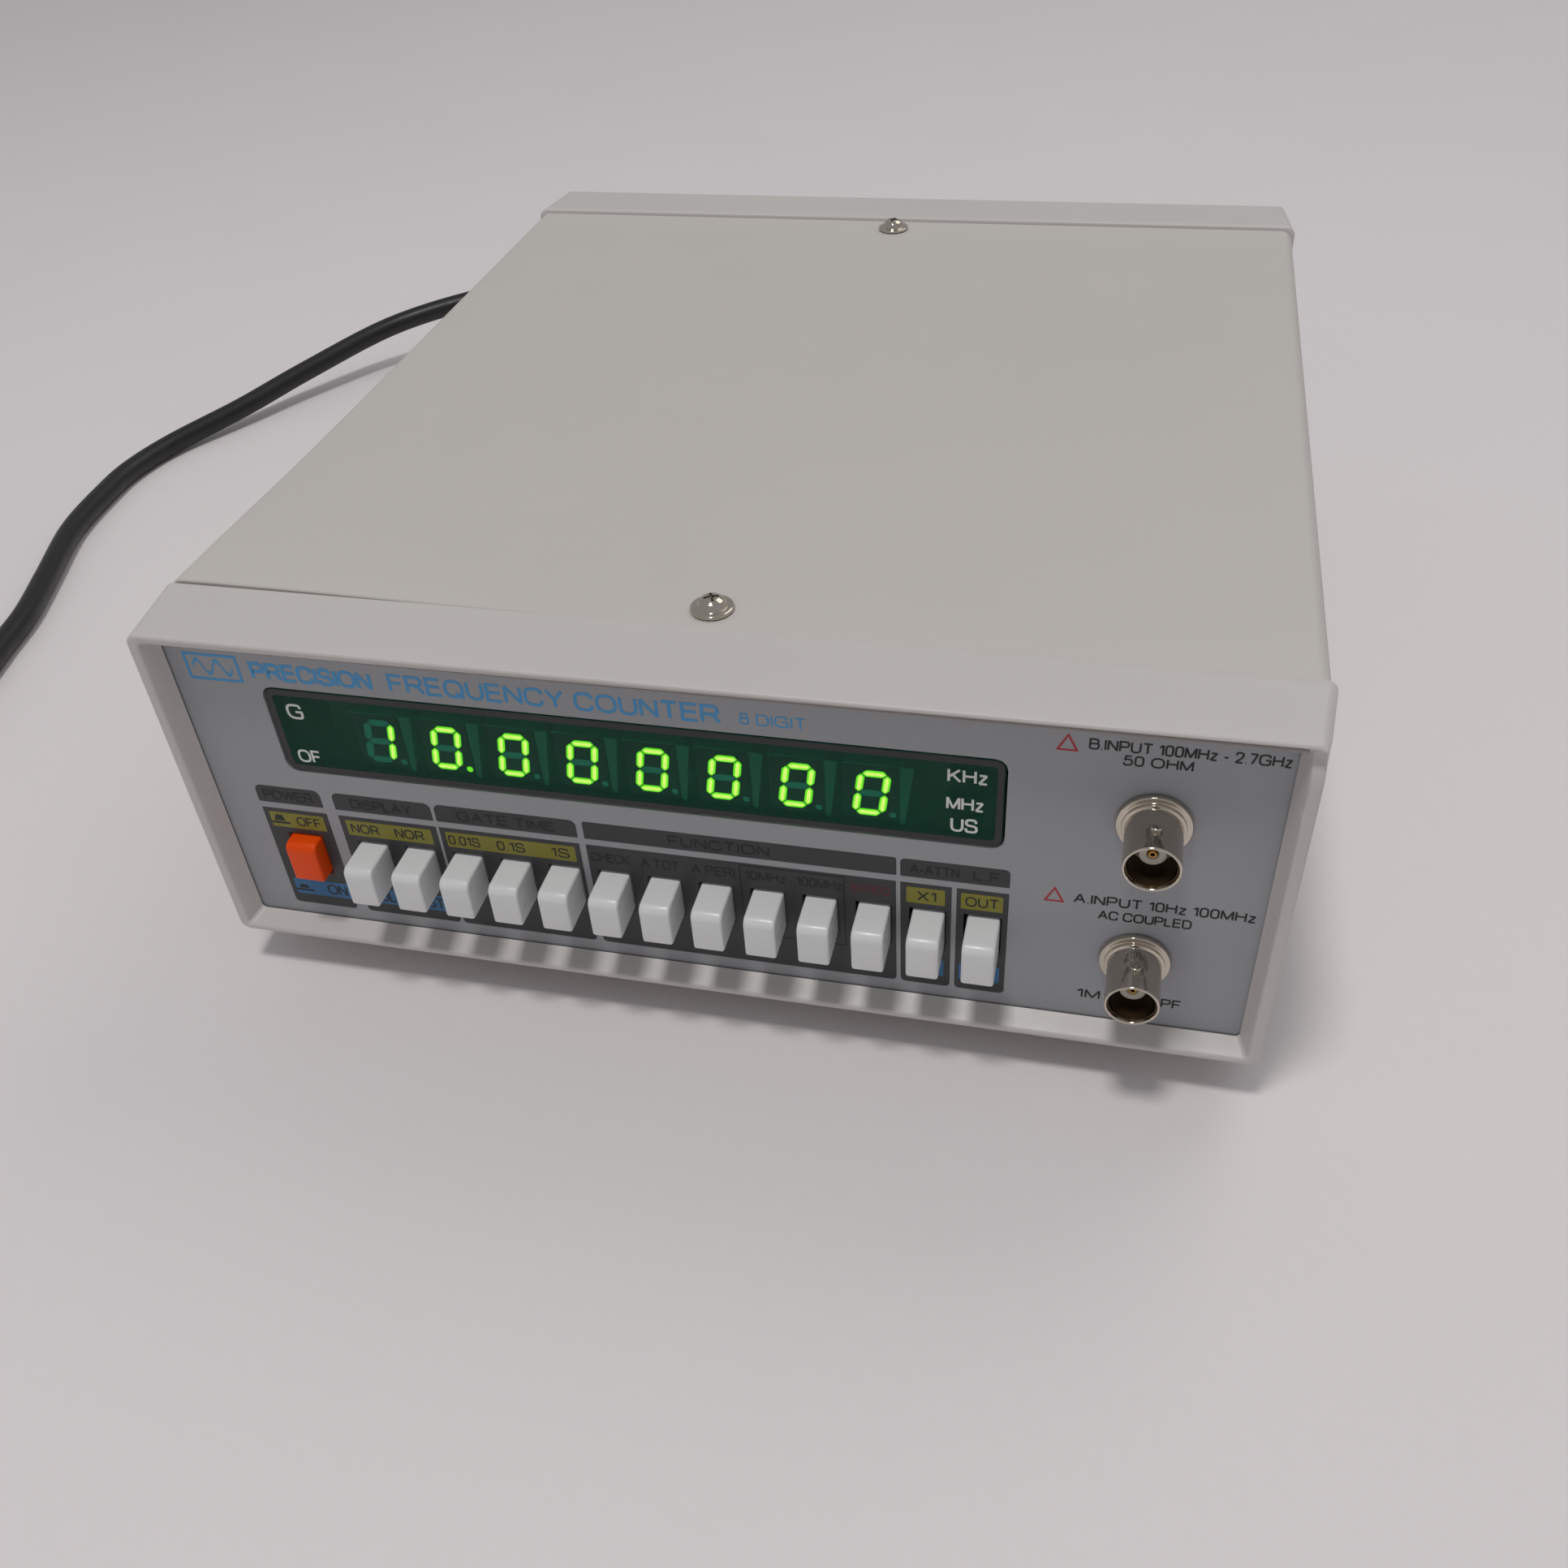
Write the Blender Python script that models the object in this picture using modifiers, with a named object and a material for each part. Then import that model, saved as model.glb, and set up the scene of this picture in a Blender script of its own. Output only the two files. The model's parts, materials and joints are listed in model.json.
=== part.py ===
"""Bench frequency counter: an eight-digit instrument in a flat case of two cover shells
held between moulded bezels, with fourteen push buttons, two coaxial inputs and a mains cord.

Dimensions are in millimetres and become metres where a mesh or a place is set.
X runs to the right, Y to the rear and Z up. The origin is on the surface that the
instrument stands on, under the middle of the instrument without its cord."""

import math

import bmesh
import bpy
from mathutils import Matrix, Vector

MM = 0.001
GAP = 0.3  # left between pieces that touch
OVERCUT = 2.0  # how far a cutter reaches past what it cuts

# Case
LIP_HALF_WIDTH = 103.95
LIP_HEIGHT = 74.85
BEZEL_DEPTH = 17.56
SIDE_FLARE = 2.05
TOP_FLARE = 0.31
CASE_DEPTH = 239.6
SOCKET_REACH = 7.2
FUSE_REACH = 5.4
BASE = 10.0  # height of the bezels' lower edge above the table
FRONT = SOCKET_REACH - (SOCKET_REACH + CASE_DEPTH + FUSE_REACH) / 2
REAR = FRONT + CASE_DEPTH
MID_HEIGHT = LIP_HEIGHT / 2
COVER_INSET = 0.7
COVER_WALL = 1.2
COVER_CORNER = 3.0
COVER_TOP = LIP_HEIGHT + TOP_FLARE - COVER_INSET
COVER_SIDE_CLEARANCE = 0.05
COVER_HALF_WIDTH = LIP_HALF_WIDTH + SIDE_FLARE - COVER_INSET - COVER_SIDE_CLEARANCE
SEAM = 0.35
BEZEL_CORNER = 2.2
BEZEL_RIM = 0.5
SCREW_HOLE_RADIUS = 1.8

# The throat in front of a panel: (y, half width, low z, high z) at its front and rear
THROAT_FRONT = (-1.0, 102.3, 0.95, 73.5)
THROAT_REAR = (6.0, 99.5, 3.7, 71.4)

# The tabs that take the cover screws. Heights are from the middle of the case
TAB_HALF_WIDTH = 9.0
TAB_FRONT = 12.0
TAB_INNER = 33.0
TAB_ROOT_REAR = 17.2
TAB_ROOT_OUTER = 36.8
TAB_TONGUE_REAR = 31.0
TAB_TONGUE_OUTER = 35.5

# Panels, measured inwards from a bezel's lip
SHOULDER = 4.24
PANEL_FACE = SHOULDER + GAP
PANEL_WALL = 2.0
PANEL_HALF_WIDTH = 101.4
PANEL_LOW = 1.6
PANEL_HIGH = 73.0
PANEL_CORNER = 0.6
REAR_PANEL_Y = REAR - PANEL_FACE

# Buttons
BUTTON_PITCH = 10.12
FIRST_BUTTON_X = -69.2
BUTTON_WIDTH = 6.0
BUTTON_LOW = 16.0
BUTTON_HIGH = 25.2
BUTTON_FACE = -3.75
POWER_X = -83.9
POWER_WIDTH = 6.6
POWER_HIGH = 25.4
POWER_FACE = 1.0
CAP_LENGTH = 14.75
POWER_CAP_LENGTH = 12.0
STEM_LENGTH = 22.0
SLOT_LEFT = 0.8
SLOT_RIGHT = 0.3
SLOT_LOW = 15.0
SLOT_HIGH = 25.75
SWITCH_FRONT = 22.0
SWITCH_REAR = 44.0
SWITCH_BORE_END = 40.0
SWITCH_HEIGHT = 14.4
STEM_HALF_WIDTH = 1.5
STEM_HALF_HEIGHT = 2.0
CAP_NOSE = 1.6  # radius of a cap's upper front edge
CAP_EDGE = 0.4

# Display
WINDOW = (-82.4, 54.9, 42.7, 62.3)
WINDOW_CORNER = 2.0
DIGIT_COUNT = 8
DIGIT_PITCH = 13.37
FIRST_DIGIT_X = -62.0
DIGIT_Z = 50.85
DIGIT_FACE = 6.24
DIGIT_HALF_WIDTH = 5.0
DIGIT_HALF_HEIGHT = 6.4
DIGIT_DEPTH = 6.0
WINDOW_SETBACK = 0.2
WINDOW_WALL = 1.2
DISPLAY_BOARD_HALF_WIDTH = 60.0
DISPLAY_BOARD_HALF_HEIGHT = 11.5
DISPLAY_BOARD_X = -15.3

# Main board, transformer and the bottom cover's bosses and vents
BOARD_LOW = 11.5
BOARD_WALL = 1.6
BOARD_HALF_WIDTH = 98.0
BOARD_FROM_LIP = 20.0
BOARD_REAR_FROM_LIP = 148.0
TRANSFORMER = (-68.0, 64.0, BASE + 24.4)
CORE_HALF_SIZE = (24.0, 14.0, 22.0)
BOBBIN_HALF_SIZE = (15.0, 23.0, 14.0)
BOSS_PLACES = ((-88, -90), (88, -90), (-88, 20), (88, 20))
BOSS_RADIUS = 3.5
FLOOR_VENT_ROWS = (-50.0, 50.0)
FLOOR_VENT_COUNT = 7
FLOOR_VENT_FIRST_Y = 20.0
FLOOR_VENT_PITCH = 11.0
FLOOR_VENT_HALF_LENGTH = 24.0
FLOOR_VENT_HALF_WIDTH = 1.6

# Sockets, feet, screws and the rear of the case
SOCKETS = {"a": (79.7, 19.7), "b": (79.75, 52.4)}
BARREL_RADIUS = 4.8
BARREL_BORE = 4.25
SOCKET_HOLE_RADIUS = 5.0
LUG_RADIUS = 1.0
LUG_FROM_LIP = 2.6
LUG_INNER = 4.5
LUG_OUTER = 5.5
NUT_RADIUS = 7.0
NUT_BORE = 4.9
NUT_THICKNESS = 2.2
FOOT_X = 82.0
FOOT_YS = (-82.0, 86.0)
SCREW_FROM_LIP = 24.1
REAR_PORT_Z = 20.0
CORD_X = -78.0
FUSE_X = -52.0
RELIEF_HOLE_RADIUS = 6.2
FUSE_HOLE_RADIUS = 6.3
REAR_VENT_COUNT = 9
REAR_VENT_FIRST_X = 14.0
REAR_VENT_PITCH = 9.0
REAR_VENT_HALF_WIDTH = 1.5
REAR_VENT_LOW = 22.0
REAR_VENT_HIGH = 52.0

# Mains cord: from the strain relief, round behind the case and forward along the table
CORD_RADIUS = 3.4
RELIEF_LENGTH = 34.3
CORD_START_Y = REAR_PANEL_Y + RELIEF_LENGTH + GAP
CORD_ROUTE = [
    (CORD_X, CORD_START_Y, 30.0),
    (CORD_X, 158.0, 30.0),
    (-79.3, 166.0, 29.7),
    (-84.8, 178.0, 28.8),
    (-95.0, 188.0, 27.2),
    (-112.0, 197.0, 25.6),
    (-134.0, 201.0, 23.8),
    (-157.0, 199.5, 21.8),
    (-179.0, 192.7, 19.4),
    (-204.7, 176.8, 15.0),
    (-225.6, 147.7, 9.8),
    (-239.3, 123.6, 6.2),
    (-253.0, 99.6, 3.8),
    (-257.8, 80.0, 3.4),
    (-257.3, 62.1, 3.4),
    (-254.0, 39.1, 3.4),
    (-245.5, 14.1, 3.4),
    (-238.5, -6.9, 3.4),
    (-235.5, -22.0, 3.4),
    (-232.5, -36.0, 3.4),
    (-230.3, -49.5, 3.4),
]
CORD_SPACING = 2.3 * 2 * CORD_RADIUS
COIL_CENTRE = (-274.0, -77.5)
COIL_INNER_TURN = 30.6
COIL_OUTER_TURN = COIL_INNER_TURN + 4 * CORD_RADIUS  # three turns side by side
COIL_LAYERS = 2
PLUG_X = COIL_CENTRE[0] - COIL_OUTER_TURN
PLUG_START_Y = COIL_CENTRE[1] + 28.6
PLUG_HALF_HEIGHT = 12.0
COIL_EDGE = 1.5
PLUG_FRONT = (16.0, 6.5, -6.5, 6.5)
PLUG_REAR = (42.0, 12.5, -PLUG_HALF_HEIGHT, PLUG_HALF_HEIGHT)
PLUG_CORNER = 2.0
GRIP_RADIUS = 4.7
GRIP_LENGTH = 20.0
PIN_START = 40.0
BLADE_XS = (-6.35, 6.35)
BLADE_HALF_WIDTH = 0.8
BLADE_LOW = -7.5
BLADE_HIGH = -1.1
BLADE_END = 58.0
EARTH_HALF_WIDTH = 2.2
EARTH_LOW = 5.3
EARTH_HIGH = 9.7
EARTH_END = 61.0

WHITE_BUTTONS = [
    "display_button_1",
    "display_button_2",
    "gate_button_1",
    "gate_button_2",
    "gate_button_3",
    "check_button",
    "total_button",
    "period_button",
    "range_button_1",
    "range_button_2",
    "range_button_3",
    "attenuator_button",
    "filter_button",
]
SWITCH_BANKS = {
    "display_switch": (0, 1),
    "gate_switch": (2, 4),
    "function_switch": (5, 10),
    "attenuator_switch": (11, 11),
    "filter_switch": (12, 12),
}


def clear_scene():
    for thing in list(bpy.data.objects):
        bpy.data.objects.remove(thing, do_unlink=True)


def new_collection(name, hidden=False):
    collection = bpy.data.collections.new(name)
    bpy.context.scene.collection.children.link(collection)
    collection.hide_render = hidden
    return collection


clear_scene()
PARTS = new_collection("frequency_counter")
CUTTERS = new_collection("cutters", hidden=True)
ROOT = bpy.data.objects.new("frequency_counter_origin", None)
PARTS.objects.link(ROOT)


def new_material(name, colour, roughness, metallic=0.0):
    material = bpy.data.materials.new(name)
    material.use_nodes = True
    shader = material.node_tree.nodes["Principled BSDF"]
    shader.inputs["Base Color"].default_value = (*colour, 1.0)
    shader.inputs["Roughness"].default_value = roughness
    shader.inputs["Metallic"].default_value = metallic
    return material


BEZEL_PLASTIC = new_material("bezel_plastic", (0.52, 0.49, 0.47), 0.45)
COVER_PAINT = new_material("cover_paint", (0.50, 0.47, 0.44), 0.55)
PANEL_PAINT = new_material("panel_paint", (0.24, 0.24, 0.26), 0.50)
WINDOW_GREEN = new_material("window_green", (0.010, 0.032, 0.022), 0.15)
DIGIT_GREEN = new_material("digit_green", (0.05, 0.16, 0.08), 0.35)
BOARD_GREEN = new_material("board_green", (0.02, 0.14, 0.06), 0.40)
WHITE_PLASTIC = new_material("button_white", (0.55, 0.53, 0.52), 0.35)
ORANGE_PLASTIC = new_material("button_orange", (0.72, 0.10, 0.03), 0.35)
BLACK_PLASTIC = new_material("black_plastic", (0.02, 0.02, 0.02), 0.50)
NICKEL = new_material("nickel", (0.72, 0.70, 0.66), 0.22, 1.0)
GOLD = new_material("gold", (0.90, 0.66, 0.25), 0.25, 1.0)
WHITE_INSULATOR = new_material("insulator_white", (0.80, 0.79, 0.75), 0.45)
FOOT_RUBBER = new_material("foot_rubber", (0.025, 0.025, 0.025), 0.80)
IRON = new_material("transformer_iron", (0.18, 0.17, 0.16), 0.55, 0.8)
CORD_RUBBER = new_material("cord_rubber", (0.012, 0.012, 0.012), 0.45)


def metres(x, y, z):
    return Vector((x, y, z)) * MM


def add_object(name, mesh, material=None, place=(0, 0, 0), turn=(0, 0, 0)):
    """A part if it has a material, otherwise a hidden cutter."""
    thing = bpy.data.objects.new(name, mesh)
    thing.location = metres(*place)
    thing.rotation_euler = turn
    if material is None:
        CUTTERS.objects.link(thing)
        thing.hide_render = True
        thing.display_type = "WIRE"
        return thing
    if not mesh.materials:
        mesh.materials.append(material)
    PARTS.objects.link(thing)
    thing.parent = ROOT
    return thing


def finish_mesh(form, name):
    mesh = bpy.data.meshes.new(name)
    bmesh.ops.recalc_face_normals(form, faces=form.faces)
    form.to_mesh(mesh)
    form.free()
    return mesh


def add_box(form, low, high):
    """A box between two corners, added to a bmesh. It returns the box's vertices."""
    made = bmesh.ops.create_cube(form, size=1.0)["verts"]
    for vertex in made:
        for axis in range(3):
            middle = (low[axis] + high[axis]) / 2
            vertex.co[axis] = (middle + vertex.co[axis] * (high[axis] - low[axis])) * MM
    return made


def box_mesh(name, *boxes):
    form = bmesh.new()
    for low, high in boxes:
        add_box(form, low, high)
    return finish_mesh(form, name)


def edges_along(form, axis):
    """The edges that run mostly along one axis."""
    found = []
    for edge in form.edges:
        run = edge.verts[0].co - edge.verts[1].co
        if abs(run[axis]) > 0.9 * run.length:
            found.append(edge)
    return found


def round_edges(form, edges, radius, segments):
    bmesh.ops.bevel(
        form,
        geom=edges,
        offset=radius * MM,
        segments=segments,
        profile=0.5,
        affect="EDGES",
    )


def rounded_plate(name, low, high, corner, segments=3):
    """A plate that faces the front, with its four corners rounded."""
    form = bmesh.new()
    add_box(form, low, high)
    round_edges(form, edges_along(form, 1), corner, segments)
    return finish_mesh(form, name)


def tapered_box(name, front, rear, corner=0.0, rim=0.0):
    """front and rear are (y, half width, low z, high z)."""
    form = bmesh.new()
    for vertex in bmesh.ops.create_cube(form, size=2.0)["verts"]:
        y, half_width, low, high = front if vertex.co.y < 0 else rear
        z = low if vertex.co.z < 0 else high
        vertex.co = metres(math.copysign(half_width, vertex.co.x), y, z)
    if corner:
        round_edges(form, edges_along(form, 1), corner, 3)
    if rim:
        ends = (front[0] * MM, rear[0] * MM)
        rims = [
            edge
            for edge in form.edges
            if any(all(abs(v.co.y - end) < 1e-6 for v in edge.verts) for end in ends)
        ]
        round_edges(form, rims, rim, 2)
    return finish_mesh(form, name)


def add_bevel(thing, width, segments=1, angle=60):
    bevel = thing.modifiers.new("rounded_edges", "BEVEL")
    bevel.width = width * MM
    bevel.segments = segments
    bevel.limit_method = "ANGLE"
    bevel.angle_limit = math.radians(angle)
    return thing


def combine(thing, other, operation):
    boolean = thing.modifiers.new(other.name, "BOOLEAN")
    boolean.operation = operation
    boolean.solver = "EXACT"
    boolean.object = other
    return thing


def cut(thing, *cutters):
    for cutter in cutters:
        combine(thing, cutter, "DIFFERENCE")
    return thing


def join(thing, *others):
    for other in others:
        combine(thing, other, "UNION")
    return thing


def cylinder_mesh(name, radius, low, high, axis="Z", sides=24, centre=(0, 0)):
    """A cylinder along Y or Z, between two places on that axis."""
    form = bmesh.new()
    bmesh.ops.create_cone(
        form,
        cap_ends=True,
        segments=sides,
        radius1=radius * MM,
        radius2=radius * MM,
        depth=(high - low) * MM,
    )
    if axis == "Y":
        bmesh.ops.transform(form, matrix=Matrix.Rotation(-math.pi / 2, 4, "X"), verts=form.verts)
        shift = metres(centre[0], (low + high) / 2, centre[1])
    else:
        shift = metres(centre[0], centre[1], (low + high) / 2)
    bmesh.ops.translate(form, vec=shift, verts=form.verts)
    return finish_mesh(form, name)


FACING_FRONT = (math.pi / 2, 0, 0)  # a turned shape's own +Z points at -Y
FACING_REAR = (-math.pi / 2, 0, 0)


def turned(name, profile, material, place, turn=(0, 0, 0), sides=24):
    """A turned solid: profile is (radius, height) pairs from the top, down the outside."""
    mesh = bpy.data.meshes.new(name)
    points = [metres(radius, 0, height) for radius, height in profile]
    mesh.from_pydata(points, [(i, i + 1) for i in range(len(points) - 1)], [])
    thing = add_object(name, mesh, material, place, turn)
    screw = thing.modifiers.new("turned", "SCREW")
    screw.axis = "Z"
    screw.angle = 2 * math.pi
    screw.steps = sides
    screw.render_steps = sides
    screw.use_merge_vertices = True
    screw.merge_threshold = 0.00001
    screw.use_smooth_shade = True
    return thing


def baked(thing, name):
    """The thing's evaluated mesh, ready to be shared by copies. The thing itself is removed."""
    bpy.context.view_layer.update()
    evaluated = thing.evaluated_get(bpy.context.evaluated_depsgraph_get())
    mesh = bpy.data.meshes.new_from_object(evaluated)
    mesh.name = name
    bpy.data.objects.remove(thing, do_unlink=True)
    return mesh


def make_bezels():
    """A moulded frame with a shoulder for its panel and two tabs for the cover screws."""
    rear_high = LIP_HEIGHT + TOP_FLARE
    outer = tapered_box(
        "bezel",
        (0, LIP_HALF_WIDTH, 0, LIP_HEIGHT),
        (BEZEL_DEPTH, LIP_HALF_WIDTH + SIDE_FLARE, -TOP_FLARE, rear_high),
        corner=BEZEL_CORNER,
        rim=BEZEL_RIM,
    )
    bezel = add_object("bezel_blank", outer, BEZEL_PLASTIC)
    throat = tapered_box("throat", THROAT_FRONT, THROAT_REAR)
    seat_low = PANEL_LOW - GAP
    seat_high = PANEL_HIGH + GAP
    seat_size = PANEL_HALF_WIDTH + GAP
    seat = tapered_box(
        "seat",
        (SHOULDER, seat_size, seat_low, seat_high),
        (BEZEL_DEPTH + OVERCUT, seat_size, seat_low, seat_high),
    )
    cut(bezel, add_object("bezel_throat", throat), add_object("bezel_seat", seat))
    tabs = (
        ("root", TAB_ROOT_REAR, TAB_ROOT_OUTER),
        ("tongue", TAB_TONGUE_REAR, TAB_TONGUE_OUTER),
    )
    for side, sign in (("top", 1), ("bottom", -1)):
        for part, rear, outer_edge in tabs:
            low, high = sorted((MID_HEIGHT + sign * TAB_INNER, MID_HEIGHT + sign * outer_edge))
            tab = box_mesh(part, ((-TAB_HALF_WIDTH, TAB_FRONT, low), (TAB_HALF_WIDTH, rear, high)))
            join(bezel, add_object(f"{side}_tab_{part}", tab))
    hole = cylinder_mesh(
        "tab_hole",
        SCREW_HOLE_RADIUS,
        -OVERCUT,
        LIP_HEIGHT + OVERCUT,
        sides=16,
        centre=(0, SCREW_FROM_LIP),
    )
    cut(bezel, add_object("tab_holes", hole))
    mesh = baked(bezel, "bezel")
    add_object("front_bezel", mesh, BEZEL_PLASTIC, (0, FRONT, BASE))
    add_object("rear_bezel", mesh, BEZEL_PLASTIC, (0, REAR, BASE), (0, 0, math.pi))


def cover_shell(name):
    """Half of the sleeve between the bezels, as the top cover stands. Its own origin is at mid height."""
    half_height = COVER_TOP - MID_HEIGHT
    length = CASE_DEPTH - 2 * (BEZEL_DEPTH + SEAM)
    corner_x = COVER_HALF_WIDTH - COVER_CORNER
    corner_z = half_height - COVER_CORNER
    outline = [(COVER_HALF_WIDTH, SEAM / 2)]
    for step in range(5):
        angle = step / 4 * math.pi / 2
        outline.append(
            (corner_x + COVER_CORNER * math.cos(angle), corner_z + COVER_CORNER * math.sin(angle))
        )
    outline += [(-x, z) for x, z in reversed(outline)]
    form = bmesh.new()
    row = [form.verts.new(metres(x, -length / 2, z)) for x, z in outline]
    edges = [form.edges.new(pair) for pair in zip(row, row[1:])]
    swept = bmesh.ops.extrude_edge_only(form, edges=edges)["geom"]
    moved = [part for part in swept if isinstance(part, bmesh.types.BMVert)]
    bmesh.ops.translate(form, vec=metres(0, length, 0), verts=moved)
    bmesh.ops.recalc_face_normals(form, faces=form.faces)
    if next(face for face in form.faces if abs(face.normal.z) > 0.9).normal.z < 0:
        bmesh.ops.reverse_faces(form, faces=form.faces)
    mesh = bpy.data.meshes.new(name)
    form.to_mesh(mesh)
    form.free()
    return mesh


def add_cover(name, turn):
    middle = (FRONT + REAR) / 2
    cover = add_object(name, cover_shell(name), COVER_PAINT, (0, middle, BASE + MID_HEIGHT), turn)
    shell = cover.modifiers.new("wall", "SOLIDIFY")
    shell.thickness = COVER_WALL * MM
    shell.offset = -1
    shell.use_even_offset = True
    return cover


def make_covers():
    screw_ys = (FRONT + SCREW_FROM_LIP, REAR - SCREW_FROM_LIP)
    top = add_cover("top_cover", (0, 0, 0))
    bottom = add_cover("bottom_cover", (0, math.pi, 0))
    for number, y in enumerate(screw_ys, 1):
        hole = cylinder_mesh(
            "cover_hole", SCREW_HOLE_RADIUS, 0, BASE + LIP_HEIGHT + BASE, sides=16, centre=(0, y)
        )
        cutter = add_object(f"cover_hole_{number}", hole)
        cut(top, cutter)
        cut(bottom, cutter)
    floor = BASE - TOP_FLARE + COVER_INSET
    for number, place in enumerate(BOSS_PLACES, 1):
        boss = cylinder_mesh(
            "boss",
            BOSS_RADIUS,
            floor + COVER_WALL / 2,
            BASE + BOARD_LOW - GAP,
            sides=12,
            centre=place,
        )
        join(bottom, add_object(f"board_boss_{number}", boss))
    vents = []
    for row_x in FLOOR_VENT_ROWS:
        left = row_x - FLOOR_VENT_HALF_LENGTH
        right = row_x + FLOOR_VENT_HALF_LENGTH
        for step in range(FLOOR_VENT_COUNT):
            y = FLOOR_VENT_FIRST_Y + FLOOR_VENT_PITCH * step
            low = (left, y - FLOOR_VENT_HALF_WIDTH, floor - OVERCUT)
            high = (right, y + FLOOR_VENT_HALF_WIDTH, floor + COVER_WALL + OVERCUT)
            vents.append((low, high))
    cut(bottom, add_object("floor_vents", box_mesh("floor_vents", *vents)))


def button_xs():
    return [FIRST_BUTTON_X + BUTTON_PITCH * step for step in range(len(WHITE_BUTTONS))]


def slot_boxes():
    """The slots that the buttons stand in, as boxes through the front panel."""
    y_low = FRONT + PANEL_FACE - OVERCUT
    y_high = FRONT + PANEL_FACE + PANEL_WALL + OVERCUT
    boxes = []
    for x, width in [(POWER_X, POWER_WIDTH)] + [(x, BUTTON_WIDTH) for x in button_xs()]:
        left = x - width / 2 - SLOT_LEFT
        right = x + width / 2 + SLOT_RIGHT
        boxes.append(((left, y_low, BASE + SLOT_LOW), (right, y_high, BASE + SLOT_HIGH)))
    return boxes


def panel_mesh(name, y_low):
    low = (-PANEL_HALF_WIDTH, y_low, BASE + PANEL_LOW)
    high = (PANEL_HALF_WIDTH, y_low + PANEL_WALL, BASE + PANEL_HIGH)
    return rounded_plate(name, low, high, PANEL_CORNER, 1)


def make_front_panel():
    face = FRONT + PANEL_FACE
    panel = add_object("front_panel", panel_mesh("front_panel", face), PANEL_PAINT)
    cut(panel, add_object("button_slots", box_mesh("button_slots", *slot_boxes())))
    left, right, low, high = WINDOW
    opening = rounded_plate(
        "window_opening",
        (left - GAP, face - OVERCUT, BASE + low - GAP),
        (right + GAP, face + PANEL_WALL + OVERCUT, BASE + high + GAP),
        WINDOW_CORNER + GAP,
    )
    cut(panel, add_object("window_opening", opening))
    for letter, (x, z) in SOCKETS.items():
        hole = cylinder_mesh(
            "socket_hole",
            SOCKET_HOLE_RADIUS,
            face - OVERCUT,
            face + PANEL_WALL + OVERCUT,
            "Y",
            centre=(x, BASE + z),
        )
        cut(panel, add_object(f"socket_hole_{letter}", hole))


def make_display():
    left, right, low, high = WINDOW
    face = FRONT + PANEL_FACE + WINDOW_SETBACK
    window = rounded_plate(
        "display_window",
        (left, face, BASE + low),
        (right, face + WINDOW_WALL, BASE + high),
        WINDOW_CORNER,
    )
    add_object("display_window", window, WINDOW_GREEN)
    digit = box_mesh(
        "display_digit",
        (
            (-DIGIT_HALF_WIDTH, 0, -DIGIT_HALF_HEIGHT),
            (DIGIT_HALF_WIDTH, DIGIT_DEPTH, DIGIT_HALF_HEIGHT),
        ),
    )
    for step in range(DIGIT_COUNT):
        place = (FIRST_DIGIT_X + DIGIT_PITCH * step, FRONT + DIGIT_FACE, BASE + DIGIT_Z)
        add_object(f"display_digit_{step + 1}", digit, DIGIT_GREEN, place)
    board = box_mesh(
        "display_board",
        (
            (-DISPLAY_BOARD_HALF_WIDTH, 0, -DISPLAY_BOARD_HALF_HEIGHT),
            (DISPLAY_BOARD_HALF_WIDTH, BOARD_WALL, DISPLAY_BOARD_HALF_HEIGHT),
        ),
    )
    place = (DISPLAY_BOARD_X, FRONT + DIGIT_FACE + DIGIT_DEPTH + GAP, BASE + DIGIT_Z + 1)
    add_object("display_board", board, BOARD_GREEN, place)


def centred_box(name, half_size):
    return box_mesh(name, (tuple(-size for size in half_size), half_size))


def make_main_board():
    low = BASE + BOARD_LOW
    board = box_mesh(
        "main_board",
        (
            (-BOARD_HALF_WIDTH, FRONT + BOARD_FROM_LIP, low),
            (BOARD_HALF_WIDTH, FRONT + BOARD_REAR_FROM_LIP, low + BOARD_WALL),
        ),
    )
    add_object("main_board", board, BOARD_GREEN)
    core = add_object("transformer", centred_box("core", CORE_HALF_SIZE), IRON, TRANSFORMER)
    bobbin = centred_box("bobbin", BOBBIN_HALF_SIZE)
    join(core, add_object("transformer_bobbin", bobbin, place=TRANSFORMER))


def button_mesh(name, width, height, length):
    """A cap with a stem behind it. The mesh's origin is the middle of the cap's front face."""
    form = bmesh.new()
    add_box(form, (-width / 2, 0, -height / 2), (width / 2, length, height / 2))
    top_front = [
        edge
        for edge in form.edges
        if all(v.co.y < 1e-6 and v.co.z > 0 for v in edge.verts)
    ]
    round_edges(form, top_front, CAP_NOSE, 3)
    cap = add_object(f"{name}_blank", finish_mesh(form, name), WHITE_PLASTIC)
    add_bevel(cap, CAP_EDGE)
    stem = box_mesh(
        "stem",
        (
            (-STEM_HALF_WIDTH, length - 1, -STEM_HALF_HEIGHT),
            (STEM_HALF_WIDTH, length + STEM_LENGTH, STEM_HALF_HEIGHT),
        ),
    )
    join(cap, add_object(f"{name}_stem", stem))
    mesh = baked(cap, name)
    mesh.materials.clear()
    return mesh


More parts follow.
